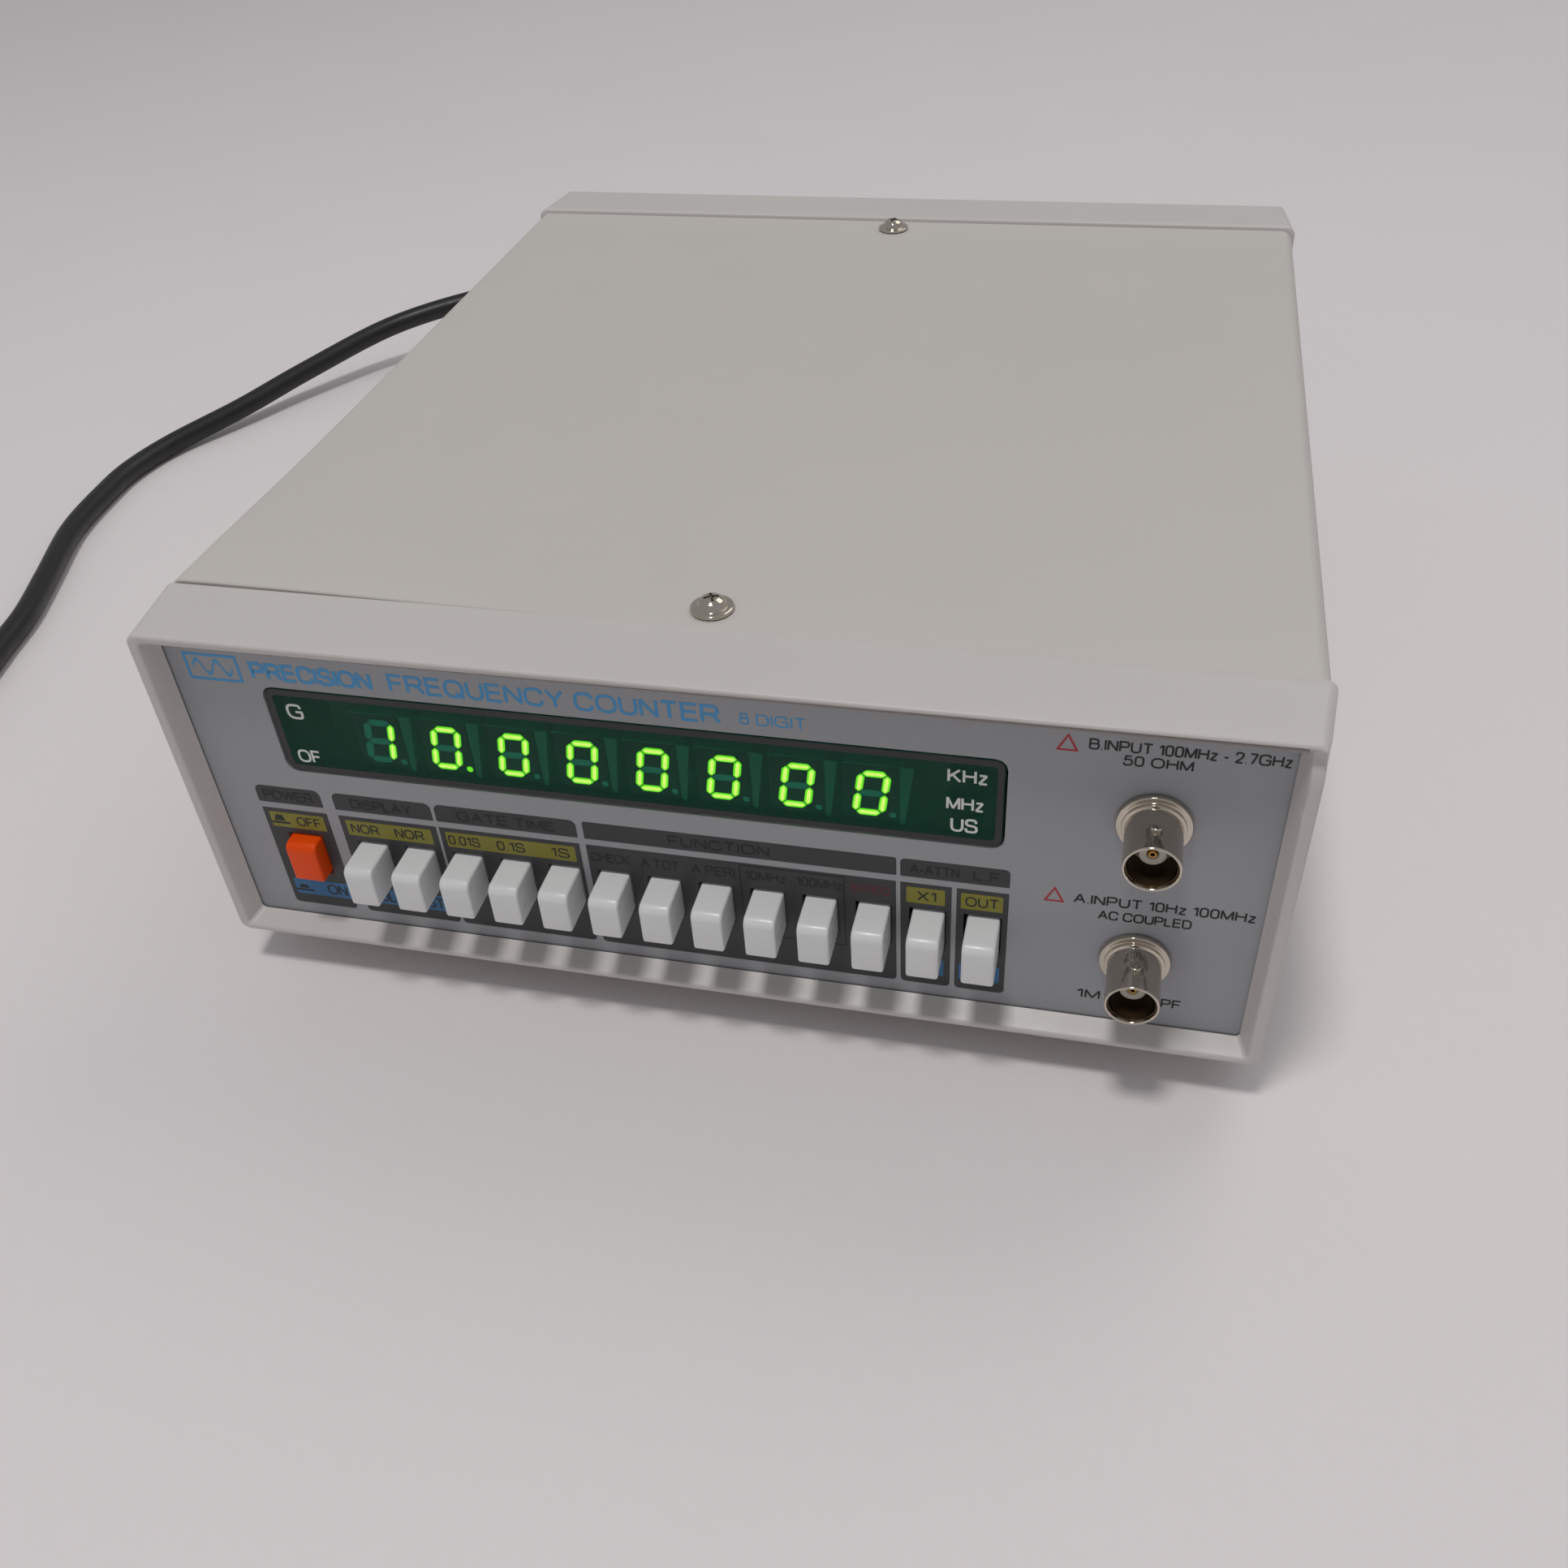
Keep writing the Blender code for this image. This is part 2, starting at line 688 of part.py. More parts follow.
def make_buttons():
    height = BUTTON_HIGH - BUTTON_LOW
    white = button_mesh("white_button", BUTTON_WIDTH, height, CAP_LENGTH)
    middle = BASE + (BUTTON_LOW + BUTTON_HIGH) / 2
    for name, x in zip(WHITE_BUTTONS, button_xs(), strict=True):
        add_object(name, white, WHITE_PLASTIC, (x, FRONT + BUTTON_FACE, middle))
    power_height = POWER_HIGH - BUTTON_LOW
    orange = button_mesh("power_button", POWER_WIDTH, power_height, POWER_CAP_LENGTH)
    place = (POWER_X, FRONT + POWER_FACE, BASE + (BUTTON_LOW + POWER_HIGH) / 2)
    add_object("power_button", orange, ORANGE_PLASTIC, place)


def add_switch(name, first_x, last_x, middle_z):
    """A switch body on the main board, with one bore for each button's stem."""
    low = BASE + BOARD_LOW + BOARD_WALL + GAP
    half = BUTTON_PITCH / 2 - GAP / 2
    body = box_mesh(
        name,
        (
            (first_x - half, FRONT + SWITCH_FRONT, low),
            (last_x + half, FRONT + SWITCH_REAR, low + SWITCH_HEIGHT),
        ),
    )
    switch = add_object(name, body, BLACK_PLASTIC)
    count = round((last_x - first_x) / BUTTON_PITCH) + 1
    bores = []
    for step in range(count):
        x = first_x + BUTTON_PITCH * step
        width = STEM_HALF_WIDTH + GAP
        height = STEM_HALF_HEIGHT + GAP
        bores.append(
            (
                (x - width, FRONT + SWITCH_FRONT - OVERCUT, middle_z - height),
                (x + width, FRONT + SWITCH_BORE_END, middle_z + height),
            )
        )
    cut(switch, add_object(f"{name}_bores", box_mesh(f"{name}_bores", *bores)))


def make_switches():
    xs = button_xs()
    middle = BASE + (BUTTON_LOW + BUTTON_HIGH) / 2
    for name, (first, last) in SWITCH_BANKS.items():
        add_switch(name, xs[first], xs[last], middle)
    add_switch("power_switch", POWER_X, POWER_X, BASE + (BUTTON_LOW + POWER_HIGH) / 2)


def make_socket(letter, x, z):
    """A bayonet socket. Heights run forward from the front panel's face."""
    name = f"input_{letter}"
    place = (x, FRONT + PANEL_FACE, BASE + z)
    rim = SOCKET_REACH + PANEL_FACE
    shell = turned(
        f"{name}_connector",
        [
            (BARREL_BORE, rim),
            (BARREL_RADIUS, rim),
            (BARREL_RADIUS, 1.3),
            (6.3, 1.3),
            (6.3, GAP),
            (4.6, GAP),
            (4.6, -10.0),
            (2.4, -10.0),
            (2.4, -12.5),
            (0, -12.5),
            (0, 3.0),
            (BARREL_BORE, 3.0),
            (BARREL_BORE, rim),
        ],
        NICKEL,
        place,
        FACING_FRONT,
    )
    for side, sign in (("upper", 1), ("lower", -1)):
        ends = sorted((sign * LUG_INNER, sign * LUG_OUTER))
        lug = cylinder_mesh("lug", LUG_RADIUS, *ends, sides=10)
        lug_place = (x, FRONT - LUG_FROM_LIP, BASE + z)
        join(shell, add_object(f"{name}_{side}_lug", lug, place=lug_place))
    turned(
        f"{name}_insulator",
        [
            (1.1, 8.0),
            (2.3, 8.0),
            (2.3, 5.0),
            (3.9, 5.0),
            (3.9, 3.3),
            (0, 3.3),
            (0, 4.6),
            (1.1, 4.6),
            (1.1, 8.0),
        ],
        WHITE_INSULATOR,
        place,
        FACING_FRONT,
        20,
    )
    turned(
        f"{name}_contact",
        [(0.34, 7.9), (0.7, 7.9), (0.7, 4.9), (0, 4.9), (0, 5.6), (0.34, 5.6), (0.34, 7.9)],
        GOLD,
        place,
        FACING_FRONT,
        12,
    )
    nut_low = FRONT + PANEL_FACE + PANEL_WALL + GAP
    nut_high = nut_low + NUT_THICKNESS
    centre = (x, BASE + z)
    hexagon = cylinder_mesh("nut", NUT_RADIUS, nut_low, nut_high, "Y", 6, centre)
    bore = cylinder_mesh(
        "nut_bore", NUT_BORE, nut_low - OVERCUT, nut_high + OVERCUT, "Y", centre=centre
    )
    cut(add_object(f"{name}_nut", hexagon, NICKEL), add_object(f"{name}_nut_bore", bore))


def screw_mesh():
    """A domed screw with a captive washer and a cross recess. Its origin is under the washer."""
    screw = turned(
        "screw_blank",
        [
            (0, 2.5),
            (1.5, 2.3),
            (2.4, 1.7),
            (2.75, 0.8),
            (4.0, 0.7),
            (4.0, 0),
            (1.5, 0),
            (1.5, -7),
            (0, -7),
        ],
        NICKEL,
        (0, 0, 0),
        sides=20,
    )
    for part, (x, y) in {"wide": (1.5, 0.35), "deep": (0.35, 1.5)}.items():
        box = box_mesh(f"recess_{part}", ((-x, -y, 1.2), (x, y, 4)))
        cut(screw, add_object(f"recess_{part}", box))
    return baked(screw, "cover_screw")


def make_screws():
    mesh = screw_mesh()
    top = BASE + COVER_TOP + GAP
    bottom = BASE + LIP_HEIGHT - COVER_TOP - GAP
    for end, y in (("front", FRONT + SCREW_FROM_LIP), ("rear", REAR - SCREW_FROM_LIP)):
        add_object(f"top_screw_{end}", mesh, NICKEL, (0, y, top))
        add_object(f"bottom_screw_{end}", mesh, NICKEL, (0, y, bottom), (math.pi, 0, 0))


def make_feet():
    underside = BASE + LIP_HEIGHT - COVER_TOP
    height = underside - GAP
    foot = turned(
        "foot_blank",
        [
            (0, height),
            (9.0, height),
            (9.0, height - 2),
            (8.0, 0.6),
            (7.4, 0),
            (3.6, 0),
            (3.0, 4.5),
            (0, 4.5),
        ],
        FOOT_RUBBER,
        (0, 0, 0),
    )
    mesh = baked(foot, "foot")
    for end, y in zip(("front", "rear"), FOOT_YS, strict=True):
        for side, x in (("left", -FOOT_X), ("right", FOOT_X)):
            add_object(f"foot_{end}_{side}", mesh, FOOT_RUBBER, (x, y, 0))


def make_rear_panel():
    panel = add_object(
        "rear_panel", panel_mesh("rear_panel", REAR_PANEL_Y - PANEL_WALL), PANEL_PAINT
    )
    z = BASE + REAR_PORT_Z
    y_low = REAR_PANEL_Y - PANEL_WALL - OVERCUT
    y_high = REAR_PANEL_Y + OVERCUT
    ports = (
        ("relief_hole", CORD_X, RELIEF_HOLE_RADIUS),
        ("fuse_hole", FUSE_X, FUSE_HOLE_RADIUS),
    )
    for name, x, radius in ports:
        hole = cylinder_mesh(name, radius, y_low, y_high, "Y", centre=(x, z))
        cut(panel, add_object(name, hole))
    vents = []
    for step in range(REAR_VENT_COUNT):
        x = REAR_VENT_FIRST_X + REAR_VENT_PITCH * step
        low = (x - REAR_VENT_HALF_WIDTH, y_low, BASE + REAR_VENT_LOW)
        high = (x + REAR_VENT_HALF_WIDTH, y_high, BASE + REAR_VENT_HIGH)
        vents.append((low, high))
    cut(panel, add_object("rear_vents", box_mesh("rear_vents", *vents)))


def make_fuse():
    """A panel fuse holder and its bayonet cap. Heights run rearward from the panel's face."""
    place = (FUSE_X, REAR_PANEL_Y, BASE + REAR_PORT_Z)
    turned(
        "fuse_holder",
        [
            (3.7, 2.8),
            (7.2, 2.8),
            (7.5, 2.4),
            (7.5, GAP),
            (6.0, GAP),
            (6.0, -24),
            (0, -24),
            (0, -16),
            (3.7, -16),
            (3.7, 2.8),
        ],
        BLACK_PLASTIC,
        place,
        FACING_REAR,
    )
    end = PANEL_FACE + FUSE_REACH
    cap = turned(
        "fuse_cap",
        [(0, end), (5.2, end), (5.9, end - 0.7), (5.9, 3.1), (3.3, 3.1), (3.3, -15.6), (0, -15.6)],
        BLACK_PLASTIC,
        place,
        FACING_REAR,
    )
    slot = box_mesh("fuse_slot", ((-9, end - 1.6, -0.7), (9, end + 2, 0.7)))
    cut(cap, add_object("fuse_cap_slot", slot, place=place))


def smooth_route(route, spacing):
    """Points at even distances along a Catmull-Rom curve through the route's points."""
    points = [Vector(point) for point in route]
    points = [2 * points[0] - points[1], *points, 2 * points[-1] - points[-2]]
    fine = []
    for a, b, c, d in zip(points, points[1:], points[2:], points[3:]):
        for step in range(12):
            t = step / 12
            fine.append(
                0.5
                * (
                    2 * b
                    + (c - a) * t
                    + (2 * a - 5 * b + 4 * c - d) * t**2
                    + (3 * b - a - 3 * c + d) * t**3
                )
            )
    fine.append(points[-2])
    lengths = [0.0]
    for a, b in zip(fine, fine[1:]):
        lengths.append(lengths[-1] + (b - a).length)
    count = round(lengths[-1] / spacing)
    even = []
    index = 0
    for step in range(count + 1):
        target = lengths[-1] * step / count
        while index < len(fine) - 2 and lengths[index + 1] < target:
            index += 1
        share = (target - lengths[index]) / (lengths[index + 1] - lengths[index])
        even.append(fine[index].lerp(fine[index + 1], share))
    return even


def make_cord():
    """The strain relief, the free stretch of cord, its coil and its plug."""
    place = (CORD_X, REAR_PANEL_Y, BASE + REAR_PORT_Z)
    turned(
        "strain_relief",
        [
            (0, RELIEF_LENGTH),
            (4.3, RELIEF_LENGTH),
            (5.6, 4.0),
            (5.6, 2.4),
            (7.0, 2.4),
            (7.0, GAP),
            (5.8, GAP),
            (5.8, -6.0),
            (0, -6.0),
        ],
        CORD_RUBBER,
        place,
        FACING_REAR,
        16,
    )
    curve = bpy.data.curves.new("power_cord", "CURVE")
    curve.dimensions = "3D"
    curve.bevel_depth = CORD_RADIUS * MM
    curve.bevel_resolution = 3
    curve.use_fill_caps = True
    points = smooth_route(CORD_ROUTE, CORD_SPACING)
    spline = curve.splines.new("POLY")
    spline.points.add(len(points) - 1)
    for point, place in zip(spline.points, points, strict=True):
        point.co = (*(place * MM), 1.0)
    add_object("power_cord", curve, CORD_RUBBER)
    inner = COIL_INNER_TURN - CORD_RADIUS
    outer = COIL_OUTER_TURN + CORD_RADIUS
    thick = COIL_LAYERS * 2 * CORD_RADIUS
    turned(
        "cord_coil",
        [
            (inner + COIL_EDGE, thick),
            (outer - COIL_EDGE, thick),
            (outer, thick - COIL_EDGE),
            (outer, COIL_EDGE),
            (outer - COIL_EDGE, 0),
            (inner + COIL_EDGE, 0),
            (inner, COIL_EDGE),
            (inner, thick - COIL_EDGE),
            (inner + COIL_EDGE, thick),
        ],
        CORD_RUBBER,
        (*COIL_CENTRE, 0),
        sides=32,
    )
    make_plug()


def make_plug():
    """A moulded three-pin plug that lies on the table, pins to the rear."""
    place = (PLUG_X, PLUG_START_Y, PLUG_HALF_HEIGHT)
    body = tapered_box("power_plug", PLUG_FRONT, PLUG_REAR, corner=PLUG_CORNER)
    plug = add_object("power_plug", body, BLACK_PLASTIC, place)
    grip = cylinder_mesh("plug_grip", GRIP_RADIUS, 0, GRIP_LENGTH, "Y", sides=16)
    pins = bmesh.new()
    for x in BLADE_XS:
        low = (x - BLADE_HALF_WIDTH, PIN_START, BLADE_LOW)
        add_box(pins, low, (x + BLADE_HALF_WIDTH, BLADE_END, BLADE_HIGH))
    low = (-EARTH_HALF_WIDTH, PIN_START, EARTH_LOW)
    add_box(pins, low, (EARTH_HALF_WIDTH, EARTH_END, EARTH_HIGH))
    join(
        plug,
        add_object("plug_grip", grip, place=place),
        add_object("plug_pins", finish_mesh(pins, "plug_pins"), place=place),
    )


def main():
    make_bezels()
    make_covers()
    make_front_panel()
    make_display()
    make_main_board()
    make_buttons()
    make_switches()
    for letter, (x, z) in SOCKETS.items():
        make_socket(letter, x, z)
    make_screws()
    make_feet()
    make_rear_panel()
    make_fuse()
    make_cord()


main()
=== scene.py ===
"""The looks of a bench frequency counter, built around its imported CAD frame.

Lengths are in millimetres and become metres in the last step of each helper. Places on the front
are given from the middle of the case (x), from the front lip (y) and from the lip's
lower edge (z)."""

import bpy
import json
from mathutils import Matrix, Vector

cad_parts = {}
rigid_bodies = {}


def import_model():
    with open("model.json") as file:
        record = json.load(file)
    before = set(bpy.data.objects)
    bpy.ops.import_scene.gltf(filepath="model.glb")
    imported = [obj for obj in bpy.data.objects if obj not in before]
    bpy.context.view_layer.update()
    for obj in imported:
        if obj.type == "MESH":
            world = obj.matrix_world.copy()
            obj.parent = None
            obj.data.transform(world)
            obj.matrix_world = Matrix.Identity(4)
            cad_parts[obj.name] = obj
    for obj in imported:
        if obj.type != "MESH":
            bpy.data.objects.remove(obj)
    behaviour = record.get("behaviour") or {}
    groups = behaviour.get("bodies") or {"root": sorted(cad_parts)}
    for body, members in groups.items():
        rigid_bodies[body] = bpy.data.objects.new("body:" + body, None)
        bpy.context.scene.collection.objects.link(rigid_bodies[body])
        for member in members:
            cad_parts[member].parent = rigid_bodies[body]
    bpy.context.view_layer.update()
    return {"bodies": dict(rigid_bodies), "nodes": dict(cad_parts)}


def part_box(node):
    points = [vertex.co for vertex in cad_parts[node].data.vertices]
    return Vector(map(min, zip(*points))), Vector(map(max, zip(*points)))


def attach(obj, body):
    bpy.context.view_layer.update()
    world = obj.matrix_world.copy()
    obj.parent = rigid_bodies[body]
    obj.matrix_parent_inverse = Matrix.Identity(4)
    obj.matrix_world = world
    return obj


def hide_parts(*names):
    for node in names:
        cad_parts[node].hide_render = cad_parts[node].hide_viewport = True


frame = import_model()

import json
import math

import bmesh
import bpy
from mathutils import Matrix, Vector

MM = 0.001


def box_mm(node):
    low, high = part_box(node)
    return low / MM, high / MM


# Places read from the frame
BEZEL_LOW, BEZEL_HIGH = box_mm("front_bezel")
PANEL_LOW = box_mm("front_panel")[0]
COVER_LOW, COVER_HIGH = box_mm("top_cover")
WINDOW_LOW, WINDOW_HIGH = box_mm("display_window")
RELIEF_LOW, RELIEF_HIGH = box_mm("strain_relief")
COIL_LOW, COIL_HIGH = box_mm("cord_coil")
PLUG_LOW, PLUG_HIGH = box_mm("power_plug")

TOP_FLARE = 0.31  # how much higher a bezel is at its rear edge than at its lip
SIDE_FLARE = 2.05  # how much wider it is there, on each side
SEAM = 0.35  # gap between a bezel and the covers
LIP_Y = BEZEL_LOW.y
REAR_LIP_Y = box_mm("rear_bezel")[1].y
BEZEL_DEPTH = COVER_LOW.y - SEAM - LIP_Y
BASE = BEZEL_LOW.z + TOP_FLARE
LIP_HEIGHT = BEZEL_HIGH.z - TOP_FLARE - BASE
LIP_HALF = BEZEL_HIGH.x - SIDE_FLARE
FACE = PANEL_LOW.y - LIP_Y
BACK_FACE = box_mm("rear_panel")[1].y


def at(x, y, z):
    """A place on the front of the case, in metres."""
    return Vector((x, LIP_Y + y, BASE + z)) * MM


def front_middle(node):
    """The middle of a node's front side, in metres."""
    low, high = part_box(node)
    return Vector(((low.x + high.x) / 2, low.y, (low.z + high.z) / 2))


def new_object(name, data):
    made = bpy.data.objects.new(name, data)
    bpy.context.scene.collection.objects.link(made)
    return made


# ---------------------------------------------------------------- materials

DUST_TINT = 0.45  # the share of a surface's colour that its dust specks have
SCUFF_TINT = 1.25  # and its scuffs
EDGE_HIGHLIGHT_TINT = 1.35  # and its lighter edges: a painted edge highlight, with some wear
PRINT_GRAIN = 2200.0


def srgb(red, green, blue):
    """A screen colour, 0 to 255, as linear light."""
    return tuple(
        (c / 255 / 12.92) if c / 255 <= 0.04045 else ((c / 255 + 0.055) / 1.055) ** 2.4
        for c in (red, green, blue)
    )


def shade(colour, factor):
    return tuple(min(1.0, channel * factor) for channel in colour)


class Nodes:
    """A material with a Principled shader, and short calls for the nodes that feed it."""

    def __init__(self, name):
        self.material = bpy.data.materials.new(name)
        self.material.use_nodes = True
        self.tree = self.material.node_tree
        self.shader = self.tree.nodes["Principled BSDF"]
        self.coords = self.tree.nodes.new("ShaderNodeTexCoord").outputs["Object"]

    def add(self, kind, inputs, **settings):
        node = self.tree.nodes.new("ShaderNode" + kind)
        for key, value in settings.items():
            setattr(node, key, value)
        for key, value in inputs.items():
            if isinstance(value, bpy.types.NodeSocket):
                self.tree.links.new(value, node.inputs[key])
            else:
                node.inputs[key].default_value = value
        return node

    def stretched(self, scale):
        return self.add("Mapping", {"Vector": self.coords, "Scale": scale}).outputs[0]

    def noise(self, scale, detail, roughness=0.55, coords=None):
        inputs = {"Scale": scale, "Detail": detail, "Roughness": roughness}
        inputs["Vector"] = coords or self.coords
        return self.add("TexNoise", inputs).outputs["Fac"]

    def ranged(self, value, low, high, to_low=0.0, to_high=1.0):
        inputs = {"Value": value, "From Min": low, "From Max": high}
        inputs |= {"To Min": to_low, "To Max": to_high}
        return self.add("MapRange", inputs).outputs[0]

    def mix(self, share, first, second):
        inputs = {0: share}
        for key, value in ((6, first), (7, second)):
            inputs[key] = value if isinstance(value, bpy.types.NodeSocket) else (*value, 1.0)
        return self.add("Mix", inputs, data_type="RGBA").outputs[2]

    def link(self, value, socket):
        self.tree.links.new(value, self.shader.inputs[socket])

    def put(self, socket, value):
        self.shader.inputs[socket].default_value = value


def surface(
    name,
    screen_colour,
    roughness,
    metallic=0.0,
    tone=0.05,
    blotch=18.0,
    grain=1400.0,
    relief=0.01,
    swing=0.06,
    dust=0.0,
    scuffs=0.0,
    edge_highlight_and_wear=0.0,
    fibre=(1, 1, 1),
):
    """A worn, slightly uneven solid surface.

    tone is how far the colour drifts, blotch and grain are noise scales per metre, relief is the
    grain's depth in mm, swing is how far the roughness drifts, dust and scuffs are shares of the
    surface, and the edge share lightens convex edges: painted edge highlight, with some wear. fibre
    stretches the grain."""
    look = Nodes(name)
    colour = srgb(*screen_colour)
    broad = look.noise(blotch, 5.0)
    coords = look.stretched(fibre) if fibre != (1, 1, 1) else None
    fine = look.noise(grain, 2.0, coords=coords)
    drift = look.ranged(broad, 0.3, 0.7)
    base = look.mix(drift, shade(colour, 1 - tone), shade(colour, 1 + tone))
    mottle = look.ranged(fine, 0.25, 0.75, 0.0, 0.65)
    base = look.mix(mottle, base, shade(colour, 1 - tone * 1.2))
    patches = look.noise(blotch * 6, 4.0)
    rough = look.ranged(patches, 0.3, 0.7, roughness - swing, roughness + swing)
    if dust:
        specks = look.ranged(look.noise(1100.0, 1.0), 0.74 - dust * 0.1, 0.80)
        base = look.mix(specks, base, shade(colour, DUST_TINT))
    if scuffs:
        lines = look.noise(60.0, 6.0, 0.7, look.stretched((14.0, 1.0, 3.0)))
        marks = look.ranged(lines, 0.66 - scuffs * 0.1, 0.74)
        base = look.mix(marks, base, shade(colour, SCUFF_TINT))
    if edge_highlight_and_wear:
        # Lightens convex edges: a painted edge highlight, with some wear
        point = look.add("NewGeometry", {}).outputs["Pointiness"]
        edge = look.ranged(point, 0.51, 0.58, 0.0, edge_highlight_and_wear)
        base = look.mix(edge, base, shade(colour, EDGE_HIGHLIGHT_TINT))
    look.link(base, "Base Color")
    look.link(rough, "Roughness")
    look.put("Metallic", metallic)
    if relief:
        bump = look.add("Bump", {"Height": fine, "Distance": relief * MM, "Strength": 1.0})
        look.link(bump.outputs[0], "Normal")
    return look


def ink(name, screen_colour, roughness=0.48, tone=0.05, relief=0.005):
    return surface(
        name + "_ink", screen_colour, roughness, tone=tone, grain=PRINT_GRAIN, relief=relief
    )


def glowing(name, screen_colour, screen_glow, strength):
    """Plastic with an emission whose glow drifts a little: the lit bars' own light, and a painted
    glow on parts that are no lamp.
    """
    look = surface(name, screen_colour, 0.35, tone=0.08, grain=2500.0, relief=0.004)
    glow = srgb(*screen_glow)
    flicker = look.ranged(look.noise(900.0, 2.0), 0.3, 0.7)
    look.link(look.mix(flicker, shade(glow, 0.9), shade(glow, 1.0)), "Emission Color")
    look.put("Emission Strength", strength)
    return look


BEZEL = surface(
    "bezel_plastic", (203, 198, 195), 0.42, tone=0.025, grain=1700.0, relief=0.012, edge_highlight_and_wear=0.25
)
COVER = surface(
    "cover_paint", (200, 195, 190), 0.50, tone=0.02, blotch=9.0, grain=2300.0, relief=0.014,
    edge_highlight_and_wear=0.15,
)
PANEL = surface(
    "panel_paint", (158, 159, 163), 0.46, tone=0.03, blotch=12.0, grain=2600.0, relief=0.006
)
BLOCK_INK = ink("block", (54, 55, 57), 0.50, 0.06)
FRAME_INK = ink("frame", (38, 38, 41), 0.38, relief=0.004)
YELLOW_INK = ink("yellow", (134, 128, 40), 0.50, 0.06)
BLUE_INK = ink("blue", (44, 104, 150), tone=0.06)
TITLE_INK = ink("title", (72, 152, 206))
DARK_INK = ink("dark", (19, 19, 21))
RED_INK = ink("red", (176, 38, 48))
DULL_RED_INK = ink("dull_red", (96, 34, 40))
WHITE_INK = ink("white", (222, 224, 218), 0.45, 0.03)
WHITE_CAP = surface(
    "button_white", (228, 229, 230), 0.32, tone=0.02, blotch=60.0, grain=1500.0, relief=0.006,
    edge_highlight_and_wear=0.12,
)
ORANGE_CAP = surface(
    "button_orange", (244, 78, 0), 0.36, tone=0.05, blotch=70.0, grain=1500.0, relief=0.006,
    edge_highlight_and_wear=0.15,
)
ORANGE_CAP.put("Specular IOR Level", 0.25)
NICKEL = surface(
    "nickel", (214, 206, 192), 0.20, 1.0, tone=0.04, blotch=120.0, grain=1800.0, relief=0.004,
    swing=0.07, scuffs=0.25, fibre=(1, 1, 5),
)
BRIGHT_NICKEL = surface(
    "bright_nickel", (206, 197, 184), 0.10, 1.0, tone=0.05, blotch=160.0, grain=900.0,
    relief=0.0015, swing=0.04, scuffs=0.15,
)
# Dark brown metal inside the socket bores: painted shade of the recess
BORE_SHADE = surface(
    "bore_painted_shade", (104, 88, 70), 0.34, 1.0, tone=0.12, blotch=220.0, grain=900.0, relief=0.004
)
GOLD = surface(
    "gold", (226, 176, 84), 0.24, 1.0, tone=0.06, blotch=300.0, grain=3000.0, relief=0.004
)
INSULATOR = surface(
    "insulator_white", (226, 220, 204), 0.45, tone=0.03, blotch=200.0, grain=2500.0, relief=0.006
)
BLACK = surface(
    "black_plastic", (30, 30, 32), 0.45, tone=0.12, grain=1500.0, relief=0.012, dust=0.1, edge_highlight_and_wear=0.2
)
RUBBER = surface(
    "foot_rubber", (38, 37, 36), 0.78, tone=0.15, grain=1200.0, relief=0.03, dust=0.2, edge_highlight_and_wear=0.25
)
CORD_SKIN = surface(
    "cord_rubber", (24, 24, 26), 0.42, tone=0.12, blotch=30.0, grain=1300.0, relief=0.015,
    dust=0.1, scuffs=0.1,
)
TIE = surface(
    "tie_cloth", (52, 52, 56), 0.85, tone=0.2, grain=1800.0, relief=0.05, fibre=(1, 1, 4)
)
IRON = surface(
    "transformer_iron", (112, 108, 102), 0.55, 0.8, tone=0.12, blotch=60.0, grain=900.0,
    relief=0.05, fibre=(0.1, 8, 0.1), scuffs=0.2,
)
BOARD = surface(
    "board_green", (36, 96, 58), 0.35, tone=0.12, blotch=160.0, grain=700.0, relief=0.03
)
MODULE = surface("module_body", (40, 178, 130), 0.5, tone=0.06, blotch=90.0, grain=1500.0)
MODULE_FACE = surface("module_face", (8, 50, 40), 0.55, tone=0.1, blotch=90.0, grain=1500.0)
# Wedge and top band between digit blocks: painted light, a glow where light falls into the gap
PAINTED_GAP_LIGHT = glowing("painted_gap_light", (40, 178, 130), (10, 130, 100), 0.07)
# Unlit bars: their glow is painted light, standing in for room light falling on them behind the
# filter
UNLIT_PAINTED_GLOW = glowing("unlit_segment_painted_glow", (30, 104, 84), (24, 140, 110), 0.6)
LIT = glowing("lit_segment", (90, 200, 20), (118, 255, 14), 2.2)
LIT_CORE = glowing("lit_core", (150, 230, 30), (225, 255, 120), 2.6)
WINDOW = surface(
    "window_green", (2, 82, 60), 0.10, tone=0.06, blotch=40.0, grain=60.0, relief=0.0, swing=0.02
)
WINDOW.put("Alpha", 0.42)
WINDOW.put("Specular IOR Level", 0.3)
WINDOW.material.blend_method = "BLEND"

# ---------------------------------------------------------------- shapes


def softened(points, radius, closed=False, steps=4):
    """The same outline with its corners rounded. radius is one number, or one for each point."""
    count = len(points)
    radii = radius if isinstance(radius, list) else [radius] * count
    found = []
    for index, point in enumerate(points):
        here = Vector(point)
        if not closed and index in (0, count - 1) or not radii[index]:
            found.append(tuple(here))
            continue
        to_last = Vector(points[index - 1]) - here
        to_next = Vector(points[(index + 1) % count]) - here
        reach = min(radii[index], to_last.length / 2.01, to_next.length / 2.01)
        start = here + to_last.normalized() * reach
        end = here + to_next.normalized() * reach
        for step in range(steps + 1):
            t = step / steps
            found.append(tuple(start * (1 - t) ** 2 + here * 2 * t * (1 - t) + end * t**2))
    return found


def arc_rect(left, right, low, high, radius, steps=5):
    """A rectangle with round corners, anticlockwise from the lower left one."""
    radii = radius if isinstance(radius, list) else [radius] * 4
    corners = [
        (left, low, 1, 1, 180),
        (right, low, -1, 1, 270),
        (right, high, -1, -1, 0),
        (left, high, 1, -1, 90),
    ]
    points = []
    for (x, z, in_x, in_z, first), r in zip(corners, radii):
        for step in range(steps + 1):
            angle = math.radians(first + 90 * step / steps)
            points.append(
                (x + in_x * r + r * math.cos(angle), z + in_z * r + r * math.sin(angle))
            )
    return points


